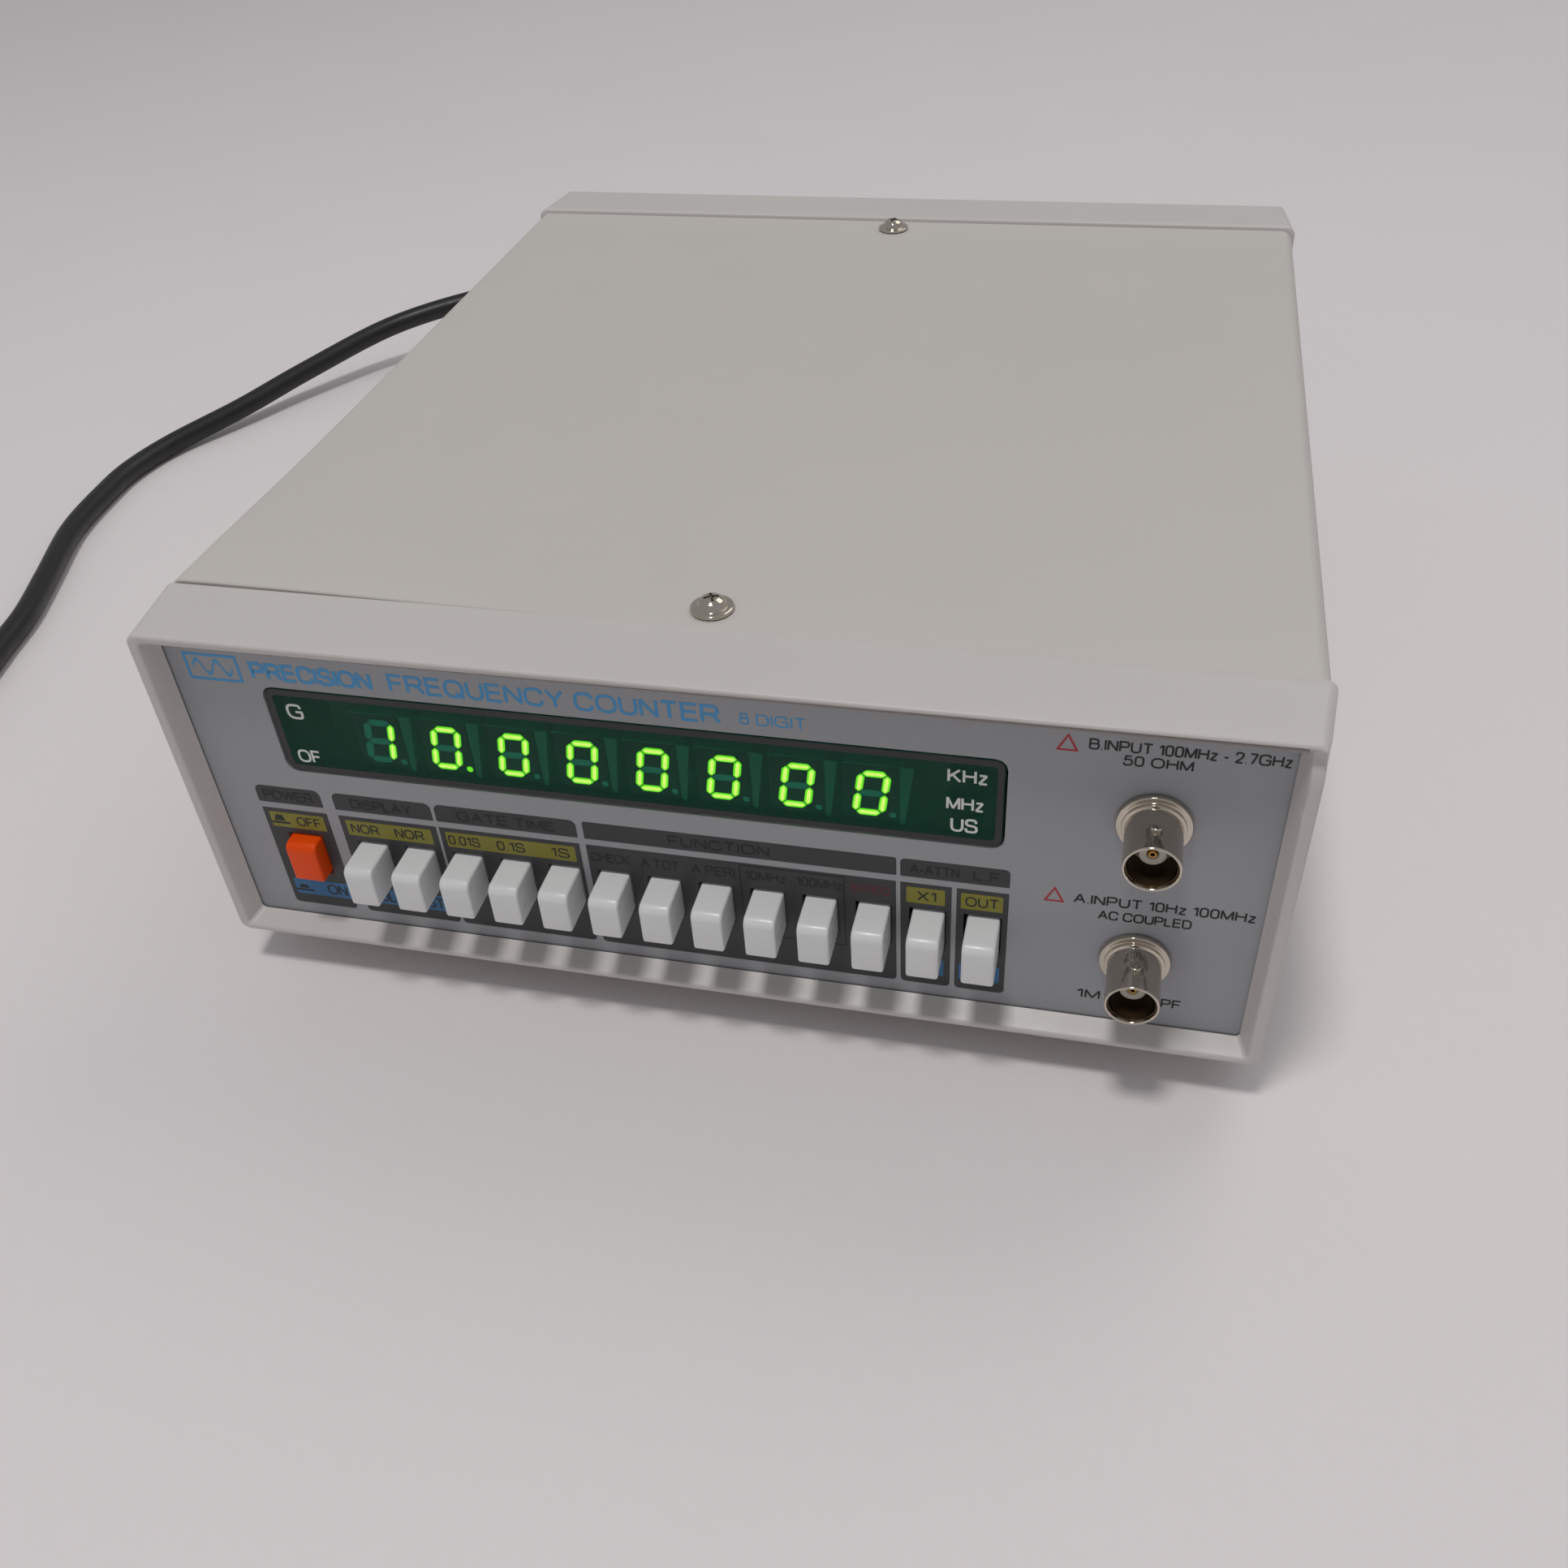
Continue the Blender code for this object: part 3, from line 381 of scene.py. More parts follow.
def loft(rings, closed=False, caps=False):
    """A skin over rings that have the same number of points each."""
    form = bmesh.new()
    rows = [[form.verts.new(Vector(point) * MM) for point in ring] for ring in rings]
    pairs = list(zip(rows, rows[1:]))
    if closed:
        pairs.append((rows[-1], rows[0]))
    for first, second in pairs:
        for i in range(len(first)):
            j = (i + 1) % len(first)
            form.faces.new((first[i], first[j], second[j], second[i]))
    if caps:
        form.faces.new(rows[0])
        form.faces.new(rows[-1])
    bmesh.ops.remove_doubles(form, verts=form.verts, dist=1e-7)
    bmesh.ops.recalc_face_normals(form, faces=form.faces)
    return form


def ring(radius, height, sides, ripple=0.0, lobes=0):
    """Points round the local Z axis. A ripple makes a knurl with that many lobes."""
    points = []
    for step in range(sides):
        angle = 2 * math.pi * step / sides
        r = radius + ripple * math.cos(lobes * angle)
        points.append((r * math.cos(angle), r * math.sin(angle), height))
    return points


def lathe(profile, sides=64, soft=0.15, closed=False):
    """A turned form about the local Z axis from (radius, height) pairs."""
    points = softened(profile, soft, closed, 3) if soft else profile
    return loft([ring(r, h, sides) for r, h in points], closed)


def block(form, low, high, edge, segments=2):
    """A box with rounded edges, added to a form."""
    part = bmesh.new()
    for vertex in bmesh.ops.create_cube(part, size=1.0)["verts"]:
        for axis in range(3):
            middle = (low[axis] + high[axis]) / 2
            vertex.co[axis] = (middle + vertex.co[axis] * (high[axis] - low[axis])) * MM
    round_edges(part, part.edges[:], edge, segments)
    absorb(form, part)


def round_edges(form, edges, radius, segments):
    bmesh.ops.bevel(
        form, geom=edges, offset=radius * MM, segments=segments, profile=0.5, affect="EDGES"
    )


def absorb(form, part, matrix=None):
    """Adds one form's faces to another, and frees it."""
    if matrix is not None:
        bmesh.ops.transform(part, matrix=matrix, verts=part.verts)
    mesh = bpy.data.meshes.new("part")
    part.to_mesh(mesh)
    part.free()
    form.from_mesh(mesh)
    bpy.data.meshes.remove(mesh)


SHARP_ANGLE = 35.0  # an edge that turns by more degrees than this is drawn sharp


def mesh_of(form, name, sharp=SHARP_ANGLE):
    mesh = bpy.data.meshes.new(name)
    form.to_mesh(mesh)
    form.free()
    mesh.shade_smooth()
    mesh.set_sharp_from_angle(angle=math.radians(sharp))
    return mesh


def turned(profile, name, sides=64, soft=0.15, closed=False, sharp=SHARP_ANGLE):
    return mesh_of(lathe(profile, sides, soft, closed), name, sharp)


FACING_FRONT = Matrix.Rotation(math.pi / 2, 4, "X")  # local +Z points at -Y
FACING_REAR = Matrix.Rotation(-math.pi / 2, 4, "X")
UPRIGHT = Matrix.Identity(4)


def add_piece(name, shape, look, place=None, turn=UPRIGHT, body="case", nodes=()):
    """A visible piece that rides on a body. place is in metres; shape is a form or a mesh."""
    mesh = shape if isinstance(shape, bpy.types.Mesh) else mesh_of(shape, name)
    if not mesh.materials:
        mesh.materials.append(look.material)
    piece = new_object(name, mesh)
    piece.matrix_world = Matrix.Translation(place or Vector()) @ turn
    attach(piece, body)
    if nodes:
        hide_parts(*nodes)
    return piece


def evaluated_mesh(first, *others):
    """The first object's mesh as its modifiers or its curve make it. The objects are removed."""
    bpy.context.view_layer.update()
    evaluated = first.evaluated_get(bpy.context.evaluated_depsgraph_get())
    mesh = bpy.data.meshes.new_from_object(evaluated)
    for thing in (first, *others):
        bpy.data.objects.remove(thing)
    return mesh


def carve(mesh, *cutters):
    """The mesh with other meshes cut out of it."""
    things = [new_object("carved", mesh)]
    for cutter in cutters:
        things.append(new_object("tool", cutter))
        boolean = things[0].modifiers.new("cut", "BOOLEAN")
        boolean.operation = "DIFFERENCE"
        boolean.object = things[-1]
    made = evaluated_mesh(*things)
    made.materials.clear()
    made.set_sharp_from_angle(angle=math.radians(SHARP_ANGLE))
    return made


# ---------------------------------------------------------------- camera, light and floor

# The camera looks at a target near the front panel, from these angles in degrees
LENS = 33.693
SENSOR = 36.0
TARGET = Vector((17.614, -118.9, 66.213))
AZIMUTH, ELEVATION, ROLL = (math.radians(angle) for angle in (15.5188, 39.7576, -4.0309))
CAMERA_DISTANCE = 251.34

# Lights: name, place, aim, diameter, watts and colour, in metres
LIGHTS = (
    ("ceiling", (-0.10, -0.38, 1.4), (0, -0.05, 0), 0.24, 6.6, (1.0, 0.985, 0.965)),
    ("far_fill", (0.7, 1.1, 1.5), (0.2, 0.6, 0), 1.2, 4.6, (1.0, 0.98, 0.96)),
)
ROOM_COLOUR = (0.97, 0.98, 1.0, 1)
ROOM_STRENGTH = 0.33
FLOOR_HALF = 6.0


def make_camera():
    data = bpy.data.cameras.new("camera")
    data.lens = LENS
    data.sensor_width = SENSOR
    data.clip_start = 0.01
    camera = new_object("camera", data)
    level = math.cos(ELEVATION)
    back = Vector((math.sin(AZIMUTH) * level, -math.cos(AZIMUTH) * level, math.sin(ELEVATION)))
    facing = (-back).to_track_quat("-Z", "Y")
    camera.rotation_mode = "QUATERNION"
    camera.rotation_quaternion = facing @ Matrix.Rotation(ROLL, 3, "Z").to_quaternion()
    camera.location = TARGET * MM + back * CAMERA_DISTANCE * MM
    bpy.context.scene.camera = camera


def make_studio():
    bpy.context.scene.view_settings.view_transform = "Standard"
    world = bpy.data.worlds.new("soft_room")
    world.use_nodes = True
    background = world.node_tree.nodes["Background"]
    background.inputs["Color"].default_value = ROOM_COLOUR
    background.inputs["Strength"].default_value = ROOM_STRENGTH
    bpy.context.scene.world = world
    for name, place, aim, size, power, colour in LIGHTS:
        data = bpy.data.lights.new(name, "AREA")
        data.shape = "DISK"
        data.size = size
        data.energy = power
        data.color = colour
        lamp = new_object(name, data)
        lamp.location = place
        direction = Vector(aim) - Vector(place)
        lamp.rotation_euler = direction.to_track_quat("-Z", "Y").to_euler()
    look = surface("floor", (236, 230, 231), 0.6, tone=0.012, blotch=3.0, grain=300.0, relief=0.0)
    form = bmesh.new()
    bmesh.ops.create_grid(form, x_segments=8, y_segments=8, size=FLOOR_HALF)
    floor = new_object("floor", mesh_of(form, "floor"))
    floor.data.materials.append(look.material)


make_camera()
make_studio()

# ---------------------------------------------------------------- mains cord

CORD_RADIUS = 3.4
CORD_START = Vector(((RELIEF_LOW.x + RELIEF_HIGH.x) / 2, RELIEF_HIGH.y + 0.3, 30.0))
# The cord's way from the strain relief to the coil, as part.py has it
CORD_ROUTE = [
    tuple(CORD_START), (-78.0, 158.0, 30.0), (-79.3, 166.0, 29.7), (-84.8, 178.0, 28.8),
    (-95.0, 188.0, 27.2), (-112.0, 197.0, 25.6), (-134.0, 201.0, 23.8), (-157.0, 199.5, 21.8),
    (-179.0, 192.7, 19.4), (-204.7, 176.8, 15.0), (-225.6, 147.7, 9.8), (-239.3, 123.6, 6.2),
    (-253.0, 99.6, 3.8), (-257.8, 80.0, 3.4), (-257.3, 62.1, 3.4), (-254.0, 39.1, 3.4),
    (-245.5, 14.1, 3.4), (-238.5, -6.9, 3.4), (-235.5, -22.0, 3.4), (-232.5, -36.0, 3.4),
    (-230.3, -49.5, 3.4),
]
COIL_CENTRE = (COIL_LOW + COIL_HIGH) / 2
COIL_OUTER = (COIL_HIGH.x - COIL_LOW.x) / 2 - CORD_RADIUS
COIL_PITCH = 2 * CORD_RADIUS
COIL_INNER = COIL_OUTER - 2 * COIL_PITCH
TURNS_DOWN, CLIMB, TURNS_UP = 2.0, 0.5, 2.0  # wound on the table, going up, and wound on top
CLIMB_INSET = 1.1  # how far the cord swings inwards as it goes up
TIE_ANGLE = math.radians(200)
TIE_THICK = 0.6
TIE_HUMP = 0.3  # radians over which the cord rises to pass over the tie
PLUG_BACK = Vector((PLUG_LOW.x + PLUG_HIGH.x, 2 * PLUG_LOW.y, 24.0)) / 2  # where the cord enters
PLUG_OVERLAP = 4.0  # how far the cord goes into the plug


def smooth_route(route, steps):
    """Points along a Catmull-Rom curve through the route's points."""
    points = [Vector(point) for point in route]
    points = [2 * points[0] - points[1], *points, 2 * points[-1] - points[-2]]
    fine = []
    for a, b, c, d in zip(points, points[1:], points[2:], points[3:]):
        for step in range(steps):
            t = step / steps
            bend = 2 * a - 5 * b + 4 * c - d
            twist = 3 * b - a - 3 * c + d
            fine.append(0.5 * (2 * b + (c - a) * t + bend * t**2 + twist * t**3))
    fine.append(points[-2])
    return fine


def coil_points(per_turn=36):
    """Wound inwards on the table, then outwards on top, clockwise from the east side."""
    points = []
    for step in range(1, round((TURNS_DOWN + CLIMB + TURNS_UP) * per_turn) + 1):
        turn = step / per_turn
        if turn < TURNS_DOWN:
            radius, lift = COIL_OUTER - COIL_PITCH * turn, 0.0
        elif turn < TURNS_DOWN + CLIMB:
            share = (turn - TURNS_DOWN) / CLIMB
            radius = COIL_INNER - CLIMB_INSET * math.sin(math.pi * share)
            lift = (1 - math.cos(math.pi * share)) / 2
        else:
            radius, lift = COIL_INNER + COIL_PITCH * (turn - TURNS_DOWN - CLIMB), 1.0
        angle = -2 * math.pi * turn
        off = math.remainder(angle - TIE_ANGLE, 2 * math.pi)
        over_tie = (TIE_THICK + 0.1) * math.exp(-((off / TIE_HUMP) ** 2))
        x = COIL_CENTRE.x + radius * math.cos(angle)
        y = COIL_CENTRE.y + radius * math.sin(angle)
        points.append(Vector((x, y, CORD_RADIUS + COIL_PITCH * lift + over_tie)))
    return points


def cord_points():
    route = CORD_ROUTE + [(COIL_CENTRE.x + COIL_OUTER, COIL_CENTRE.y, CORD_RADIUS)]
    points = smooth_route(route, 6) + coil_points()
    end = points[-1]
    for step in range(1, 9):
        share = step / 8
        ease = share * share * (3 - 2 * share)
        x = end.x + (PLUG_BACK.x - end.x) * ease
        y = end.y + (PLUG_BACK.y + PLUG_OVERLAP - end.y) * share
        points.append(Vector((x, y, end.z + (PLUG_BACK.z - end.z) * ease)))
    return points


def make_strain_relief():
    """A tapered rubber sleeve with flexing grooves. Heights run rearward from the panel."""
    length = RELIEF_HIGH.y - BACK_FACE
    profile = [(0, -5.8), (5.7, -5.8), (5.7, 0.3), (7.0, 0.3), (7.0, 2.4), (5.7, 2.4)]
    grooves = 7
    pitch = (length - 6.5) / grooves
    for step in range(grooves):
        start = 4.2 + pitch * step
        width = 5.7 - 1.3 * step / grooves
        profile += [(width, start), (width - 0.1, start + pitch * 0.6)]
        profile += [(width - 1.2, start + pitch * 0.68), (width - 1.3, start + pitch * 0.92)]
    profile += [(4.4, length - 2.0), (4.2, length), (0, length)]
    place = Vector((CORD_START.x, BACK_FACE, CORD_START.z)) * MM
    return add_piece(
        "cord_strain_relief", lathe(profile, 40, 0.25), CORD_SKIN, place,
        FACING_REAR, nodes=["strain_relief"],
    )


# Plug stations: distance from its back, half width, half height and corner radius
PLUG_GRIP = [(0.0, 4.2, 4.2, 3.9), (0.8, 4.7, 4.7, 4.2)]
PLUG_HEAD = [
    (16.2, 5.3, 5.2, 4.0), (17.5, 6.6, 6.5, 3.6), (22.0, 7.9, 7.7, 3.4), (30.0, 10.3, 9.9, 3.0),
    (38.0, 12.0, 11.6, 2.8), (41.2, 12.4, 11.9, 2.4), (42.0, 11.9, 11.4, 2.0),
]
PLUG_RIBS = 5
BLADE_X, BLADE_HALF, BLADE_LOW, BLADE_HIGH = 6.35, 0.8, -7.5, -1.1
EARTH_HALF, EARTH_LOW, EARTH_HIGH = 2.2, 5.3, 9.7
PIN_BACK, BLADE_TIP, EARTH_TIP = 41.5, 58, 61


def make_plug():
    """A moulded plug: a ribbed grip that widens into a body, with two blades and an earth pin."""
    rings = []
    stations = list(PLUG_GRIP)
    for step in range(PLUG_RIBS):
        y = 2.4 + 2.7 * step
        stations += [(y, 4.7, 4.7, 4.2), (y + 0.3, 4.0, 4.0, 3.6)]
        stations += [(y + 1.2, 4.0, 4.0, 3.6), (y + 1.5, 4.7, 4.7, 4.2)]
    for y, half_x, half_z, corner in stations + PLUG_HEAD:
        outline = arc_rect(-half_x, half_x, -half_z, half_z, corner, 6)
        rings.append([(x, y, z) for x, z in outline])
    place = PLUG_BACK * MM
    body = add_piece(
        "plug_body", loft(rings, caps=True), BLACK, place, nodes=["power_plug"]
    )
    pins = bmesh.new()
    for x in (-BLADE_X, BLADE_X):
        low = (x - BLADE_HALF, PIN_BACK, BLADE_LOW)
        block(pins, low, (x + BLADE_HALF, BLADE_TIP, BLADE_HIGH), 0.35, 3)
    block(pins, (-EARTH_HALF, PIN_BACK, EARTH_LOW), (EARTH_HALF, EARTH_TIP, EARTH_HIGH), 1.2, 4)
    return [body, add_piece("plug_pins", pins, NICKEL, place)]


def make_tie():
    """A woven strap round one side of the coil, with its end lapped on top."""
    inner = COIL_INNER - CORD_RADIUS - 1.0
    outer = COIL_OUTER + CORD_RADIUS + 0.3
    high = 4 * CORD_RADIUS + TIE_THICK + 0.5
    path = arc_rect(inner, outer, TIE_THICK / 2, high, 3.0, 6)
    middle_x, middle_z = (inner + outer) / 2, high / 2
    half = 4.0
    rings = []
    for x, z in path:
        out = Vector((x - middle_x, z - middle_z)).normalized() * TIE_THICK / 2
        section = [(-half, 1), (half, 1), (half, -1), (-half, -1)]
        rings.append([(x + out.x * side, y, z + out.y * side) for y, side in section])
    form = loft(rings, closed=True)
    block(form, (middle_x - 8, -half, high + 0.3), (middle_x + 9, half, high + 1.1), 0.3)
    turn = Matrix.Rotation(TIE_ANGLE, 4, "Z")
    place = Vector((COIL_CENTRE.x, COIL_CENTRE.y, 0)) * MM
    return add_piece("cord_tie", form, TIE, place, turn)


def make_cord():
    cord_pieces = [make_strain_relief(), *make_plug(), make_tie()]
    points = cord_points()
    curve = bpy.data.curves.new("mains_cord", "CURVE")
    curve.dimensions = "3D"
    curve.bevel_depth = CORD_RADIUS * MM
    curve.bevel_resolution = 6
    curve.use_fill_caps = True
    spline = curve.splines.new("POLY")
    spline.points.add(len(points) - 1)
    for point, place in zip(spline.points, points):
        point.co = (*(place * MM), 1.0)
    spline.use_smooth = True
    curve.materials.append(CORD_SKIN.material)
    cord = new_object("mains_cord", curve)
    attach(cord, "case")
    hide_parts("power_cord", "cord_coil")


make_cord()

# ---------------------------------------------------------------- case: bezels and covers

OUTER_CORNER = 2.2
OUTER_ROUND = 0.55
INNER_ROUND = 0.45
SEAT_DEPTH = 4.24
SEAT = (101.7, 1.3, 73.3)  # half width, low and high edge of the hole behind the lip
SEAT_CORNER = 0.8
THROAT = (101.9, 1.35, 73.2)  # the same of the opening at the lip
THROAT_TAPER = (-1.7, 1.65, -1.27)  # and what is added to each as it nears the panel
THROAT_CORNER = 0.9
TAB_HALF, TAB_FRONT = 9, 12
TABS = ((17.2, 33.0, 36.2), (31, 33.0, 35.5))  # rear end, and where it starts and ends outwards
CHIP_WIDE, CHIP_DEEP = 3.0, 4.0  # how much of the corner moves
CHIP_SHIFT = Vector((-0.25, 1.3, 0.0))


def section(y, half, low, high, corner):
    return [(x, y, z) for x, z in arc_rect(-half, half, low, high, corner, 7)]


def outer_section(y, inset=0.0):
    """The bezel's outline at a depth behind its lip."""
    share = y / BEZEL_DEPTH
    half = LIP_HALF + SIDE_FLARE * share - inset
    low = -TOP_FLARE * share + inset
    high = LIP_HEIGHT + TOP_FLARE * share - inset
    return section(y, half, low, high, max(OUTER_CORNER - inset, 0.3))


def throat_section(y, inset=0.0):
    """The opening in front of the panel at a depth behind the lip. A negative inset widens it."""
    share = y / SEAT_DEPTH
    half, low, high = (edge + more * share for edge, more in zip(THROAT, THROAT_TAPER))
    corner = max(THROAT_CORNER - inset, 0.3)
    return section(y, half - inset, low + inset, high - inset, corner)


def seat_section(y, wider=0.0):
    half, low, high = SEAT
    return section(y, half + wider, low - wider, high + wider, SEAT_CORNER)


def bezel_form():
    """A moulded frame, as rings from its rear outer edge, round the lip, to its rear inner edge."""
    rear = BEZEL_DEPTH
    rings = [outer_section(rear, 0.3), outer_section(rear - 0.1, 0.09), outer_section(rear - 0.3)]
    rings += [outer_section(rear - 0.3 - (rear - 1.0) * step / 8) for step in range(1, 8)]
    rings.append(outer_section(OUTER_ROUND))
    for step in range(1, 7):
        angle = math.radians(15 * step)
        y, inset = OUTER_ROUND * (1 - math.sin(angle)), OUTER_ROUND * (1 - math.cos(angle))
        rings.append(outer_section(y, inset))
    for step in range(6):
        angle = math.radians(90 - 15 * step)
        y, inset = INNER_ROUND * (1 - math.sin(angle)), -INNER_ROUND * (1 - math.cos(angle))
        rings.append(throat_section(y, inset))
    rings += [throat_section(y) for y in (INNER_ROUND, 1.6, 2.8, SEAT_DEPTH - 0.1)]
    rings += [throat_section(SEAT_DEPTH, -0.1), seat_section(SEAT_DEPTH + 0.02)]
    rings += [seat_section(rear - 0.2), seat_section(rear, 0.2)]
    form = loft(rings, closed=True)
    middle = LIP_HEIGHT / 2
    for sign in (1, -1):
        for tab_rear, inner, outer in TABS:
            low, high = sorted((middle + sign * inner, middle + sign * outer))
            block(form, (-TAB_HALF, TAB_FRONT, low), (TAB_HALF, tab_rear, high), 0.4)
    return form


def dent_corner(form):
    """The chip at the front bezel's upper right corner, where the side's lip starts further back."""
    for vertex in form.verts:
        x, y, z = vertex.co / MM
        if x < LIP_HALF - CHIP_WIDE or y > CHIP_DEEP:
            continue
        depth = max(0.0, 1 - y / CHIP_DEEP)
        below = LIP_HEIGHT - 1.5 - z
        along = math.exp(-(((below - 1.2) / 2.4) ** 2)) if below > -0.4 else 0.0
        vertex.co += CHIP_SHIFT * depth * along * MM


def subdivide_corner(form):
    """Gives the front right side's tall edges the points that the chip needs."""
    near = [
        edge
        for edge in form.edges
        if any(v.co.z > 70 * MM for v in edge.verts)
        and any(v.co.z < 10 * MM for v in edge.verts)
        and all(v.co.x > 95 * MM and v.co.y < 8 * MM for v in edge.verts)
    ]
    bmesh.ops.subdivide_edges(form, edges=near, cuts=60, use_grid_fill=True)


def make_bezels():
    place = Vector((0, LIP_Y, BASE)) * MM
    front = bezel_form()
    subdivide_corner(front)
    dent_corner(front)
    add_piece("front_bezel_frame", front, BEZEL, place, nodes=["front_bezel"])
    place = Vector((0, REAR_LIP_Y, BASE)) * MM
    turn = Matrix.Rotation(math.pi, 4, "Z")
    rear = bezel_form()
    add_piece("rear_bezel_frame", rear, BEZEL, place, turn, nodes=["rear_bezel"])


COVER_HALF = COVER_HIGH.x
COVER_TOP = COVER_HIGH.z - BASE - LIP_HEIGHT / 2
COVER_WALL = 1.2
COVER_CORNER = 3.0
COVER_EDGE = 0.25
BENT_LIFT = 1.15  # how far the top cover's front left edge stands up
VENT_HALF_LONG, VENT_HALF_WIDE, VENT_STEP, VENT_ROWS, VENT_COUNT = 24, 1.6, 11, (-50, 50), 7


def cover_form(stations=2):
    """Half of the sleeve, as the top cover stands. Its own origin is at mid height."""
    def shell_line(inset):
        half, top = COVER_HALF - inset, COVER_TOP - inset
        corner = COVER_CORNER - inset
        line = [(half, 0.175), (half, top * 0.35), (half, top * 0.7)]
        for step in range(9):
            angle = math.pi / 2 * step / 8
            line.append(
                (half - corner + corner * math.cos(angle), top - corner + corner * math.sin(angle))
            )
        line += [(half * share / 10, top) for share in range(9, 0, -1)]
        return line + [(0, top)] + [(-x, z) for x, z in reversed(line)]

    length = COVER_HIGH.y - COVER_LOW.y
    rings = []
    places = [(0, COVER_EDGE), (COVER_EDGE, 0)]
    places += [(length * step / stations, 0) for step in range(1, stations)]
    places += [(length - COVER_EDGE, 0), (length, COVER_EDGE)]
    for y, inset in places:
        outline = shell_line(inset) + list(reversed(shell_line(COVER_WALL - inset)))
        rings.append([(x, y - length / 2, z) for x, z in outline])
    return loft(rings, caps=True)


def lift_front_edge(form):
    """The top cover's front edge stands up a little at its left, where it was bent."""
    front = (COVER_LOW.y - COVER_HIGH.y) / 2
    for vertex in form.verts:
        x, y, z = vertex.co / MM
        share = min(1.0, max(0.0, (-12 - x) / 85))
        back = math.exp(-(((y - front) / 38) ** 2))
        if z > COVER_TOP - 6:
            vertex.co.z += BENT_LIFT * share * share * (3 - 2 * share) * back * MM


def make_covers():
    middle = Vector((0, (COVER_LOW.y + COVER_HIGH.y) / 2, BASE + LIP_HEIGHT / 2))
    top = cover_form(14)
    lift_front_edge(top)
    add_piece("top_cover_shell", top, COVER, middle * MM, nodes=["top_cover"])
    vents = bmesh.new()
    for x in VENT_ROWS:
        for step in range(VENT_COUNT):
            y = 20 + VENT_STEP * step - middle.y
            low = (x - VENT_HALF_LONG, y - VENT_HALF_WIDE, 30)
            block(vents, low, (x + VENT_HALF_LONG, y + VENT_HALF_WIDE, 45), 1.5, 4)
    shell = carve(mesh_of(cover_form(), "bottom_cover_shell"), mesh_of(vents, "vents"))
    add_piece(
        "bottom_cover_shell", shell, COVER, middle * MM,
        Matrix.Rotation(math.pi, 4, "Y"), nodes=["bottom_cover"],
    )
    bosses = bmesh.new()
    for x in (-88, 88):
        for y in (-90, 20):
            post = lathe([(0, 0.2), (3.5, 0.2), (3.5, 9.6), (1.2, 9.6), (1.2, 6.0), (0, 6.0)], 32)
            absorb(bosses, post, Matrix.Translation(Vector((x, y, 11.6)) * MM))
    add_piece("board_bosses", bosses, NICKEL)


make_bezels()
make_covers()

# ---------------------------------------------------------------- screws and feet


def screw_mesh():
    """A domed screw with a captive washer and a cross recess. Its origin is under the washer."""
    profile = [(0, 2.55), (1.4, 2.4), (2.3, 1.85), (2.75, 1.05), (2.8, 0.72), (3.7, 0.66)]
    profile += [(4.0, 0.45), (4.0, 0.0), (1.5, 0.0), (1.5, -7.0), (0, -7.0)]
    head = turned(profile, "screw_head", 64, 0.18, sharp=40)
    cutters = []
    for across in (False, True):
        cutter = bmesh.new()
        block(cutter, (-1.45, -0.26, 1.35), (1.45, 0.26, 4), 0.12, 1)
        if across:
            quarter = Matrix.Rotation(math.pi / 2, 3, "Z")
            bmesh.ops.rotate(cutter, matrix=quarter, verts=cutter.verts)
        cutters.append(mesh_of(cutter, "recess"))
    core = [(0, 1.0), (0.3, 1.0), (0.85, 4.0), (0, 4.0)]
    return carve(head, *cutters, turned(core, "recess_core", 24, 0))


SCREW_SINK = 2.5  # how far the washer's underside is below the top of the CAD screw


def make_screws():
    mesh = screw_mesh()
    for side in ("top", "bottom"):
        for number, end in enumerate(("front", "rear")):
            low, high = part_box(f"{side}_screw_{end}")
            middle = (low + high) / 2
            if side == "top":
                place = Vector((middle.x, middle.y, high.z - SCREW_SINK * MM))
                turn = Matrix.Rotation(math.radians(25 + 50 * number), 4, "Z")
            else:
                place = Vector((middle.x, middle.y, low.z + SCREW_SINK * MM))
                turn = Matrix.Rotation(math.pi, 4, "X")
            add_piece(
                f"{side}_{end}_cover_screw", mesh, BRIGHT_NICKEL, place, turn,
                nodes=[f"{side}_screw_{end}"],
            )


FOOT_HIGH = 9.7


def make_feet():
    profile = [(0, FOOT_HIGH), (9.0, FOOT_HIGH), (9.0, 7.6), (8.1, 0.5), (7.6, 0), (3.8, 0)]
    foot = turned(profile + [(3.4, 0.4), (3.0, 4.6), (0, 4.6)], "rubber_foot", 64, 0.4)
    screw = turned([(0, 1.1), (2.5, 1.1), (2.5, 0.1), (1.2, 0), (0, 0.25)], "foot_screw", 32)
    for end in ("front", "rear"):
        for side in ("left", "right"):
            low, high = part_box(f"foot_{end}_{side}")
            place = Vector(((low.x + high.x) / 2, (low.y + high.y) / 2, 0.0))
            tall = Matrix.Diagonal((1, 1, (high.z - low.z) / (FOOT_HIGH * MM), 1))
            name = f"{end}_{side}_foot"
            node = f"foot_{end}_{side}"
            add_piece(f"{name}_pad", foot, RUBBER, place, tall, nodes=[node])
            add_piece(f"{name}_screw", screw, NICKEL, place + Vector((0, 0, 3.6 * MM)))


make_screws()
make_feet()

# ---------------------------------------------------------------- front panel print

LAYER = 0.03  # thickness of one printed layer

# Printed pieces and their looks
PRINTS = {
    "block_print": BLOCK_INK,
    "dark_print": DARK_INK,
    "yellow_print": YELLOW_INK,
    "blue_print": BLUE_INK,
    "dull_red_print": DULL_RED_INK,
    "title_print": TITLE_INK,
    "black_print": DARK_INK,
    "red_print": RED_INK,
    "window_frame_print": FRAME_INK,
    "window_print": WHITE_INK,
    "rear_print": DARK_INK,
}
FORMS = {ink: bmesh.new() for ink in PRINTS}  # each gathers its piece's shapes


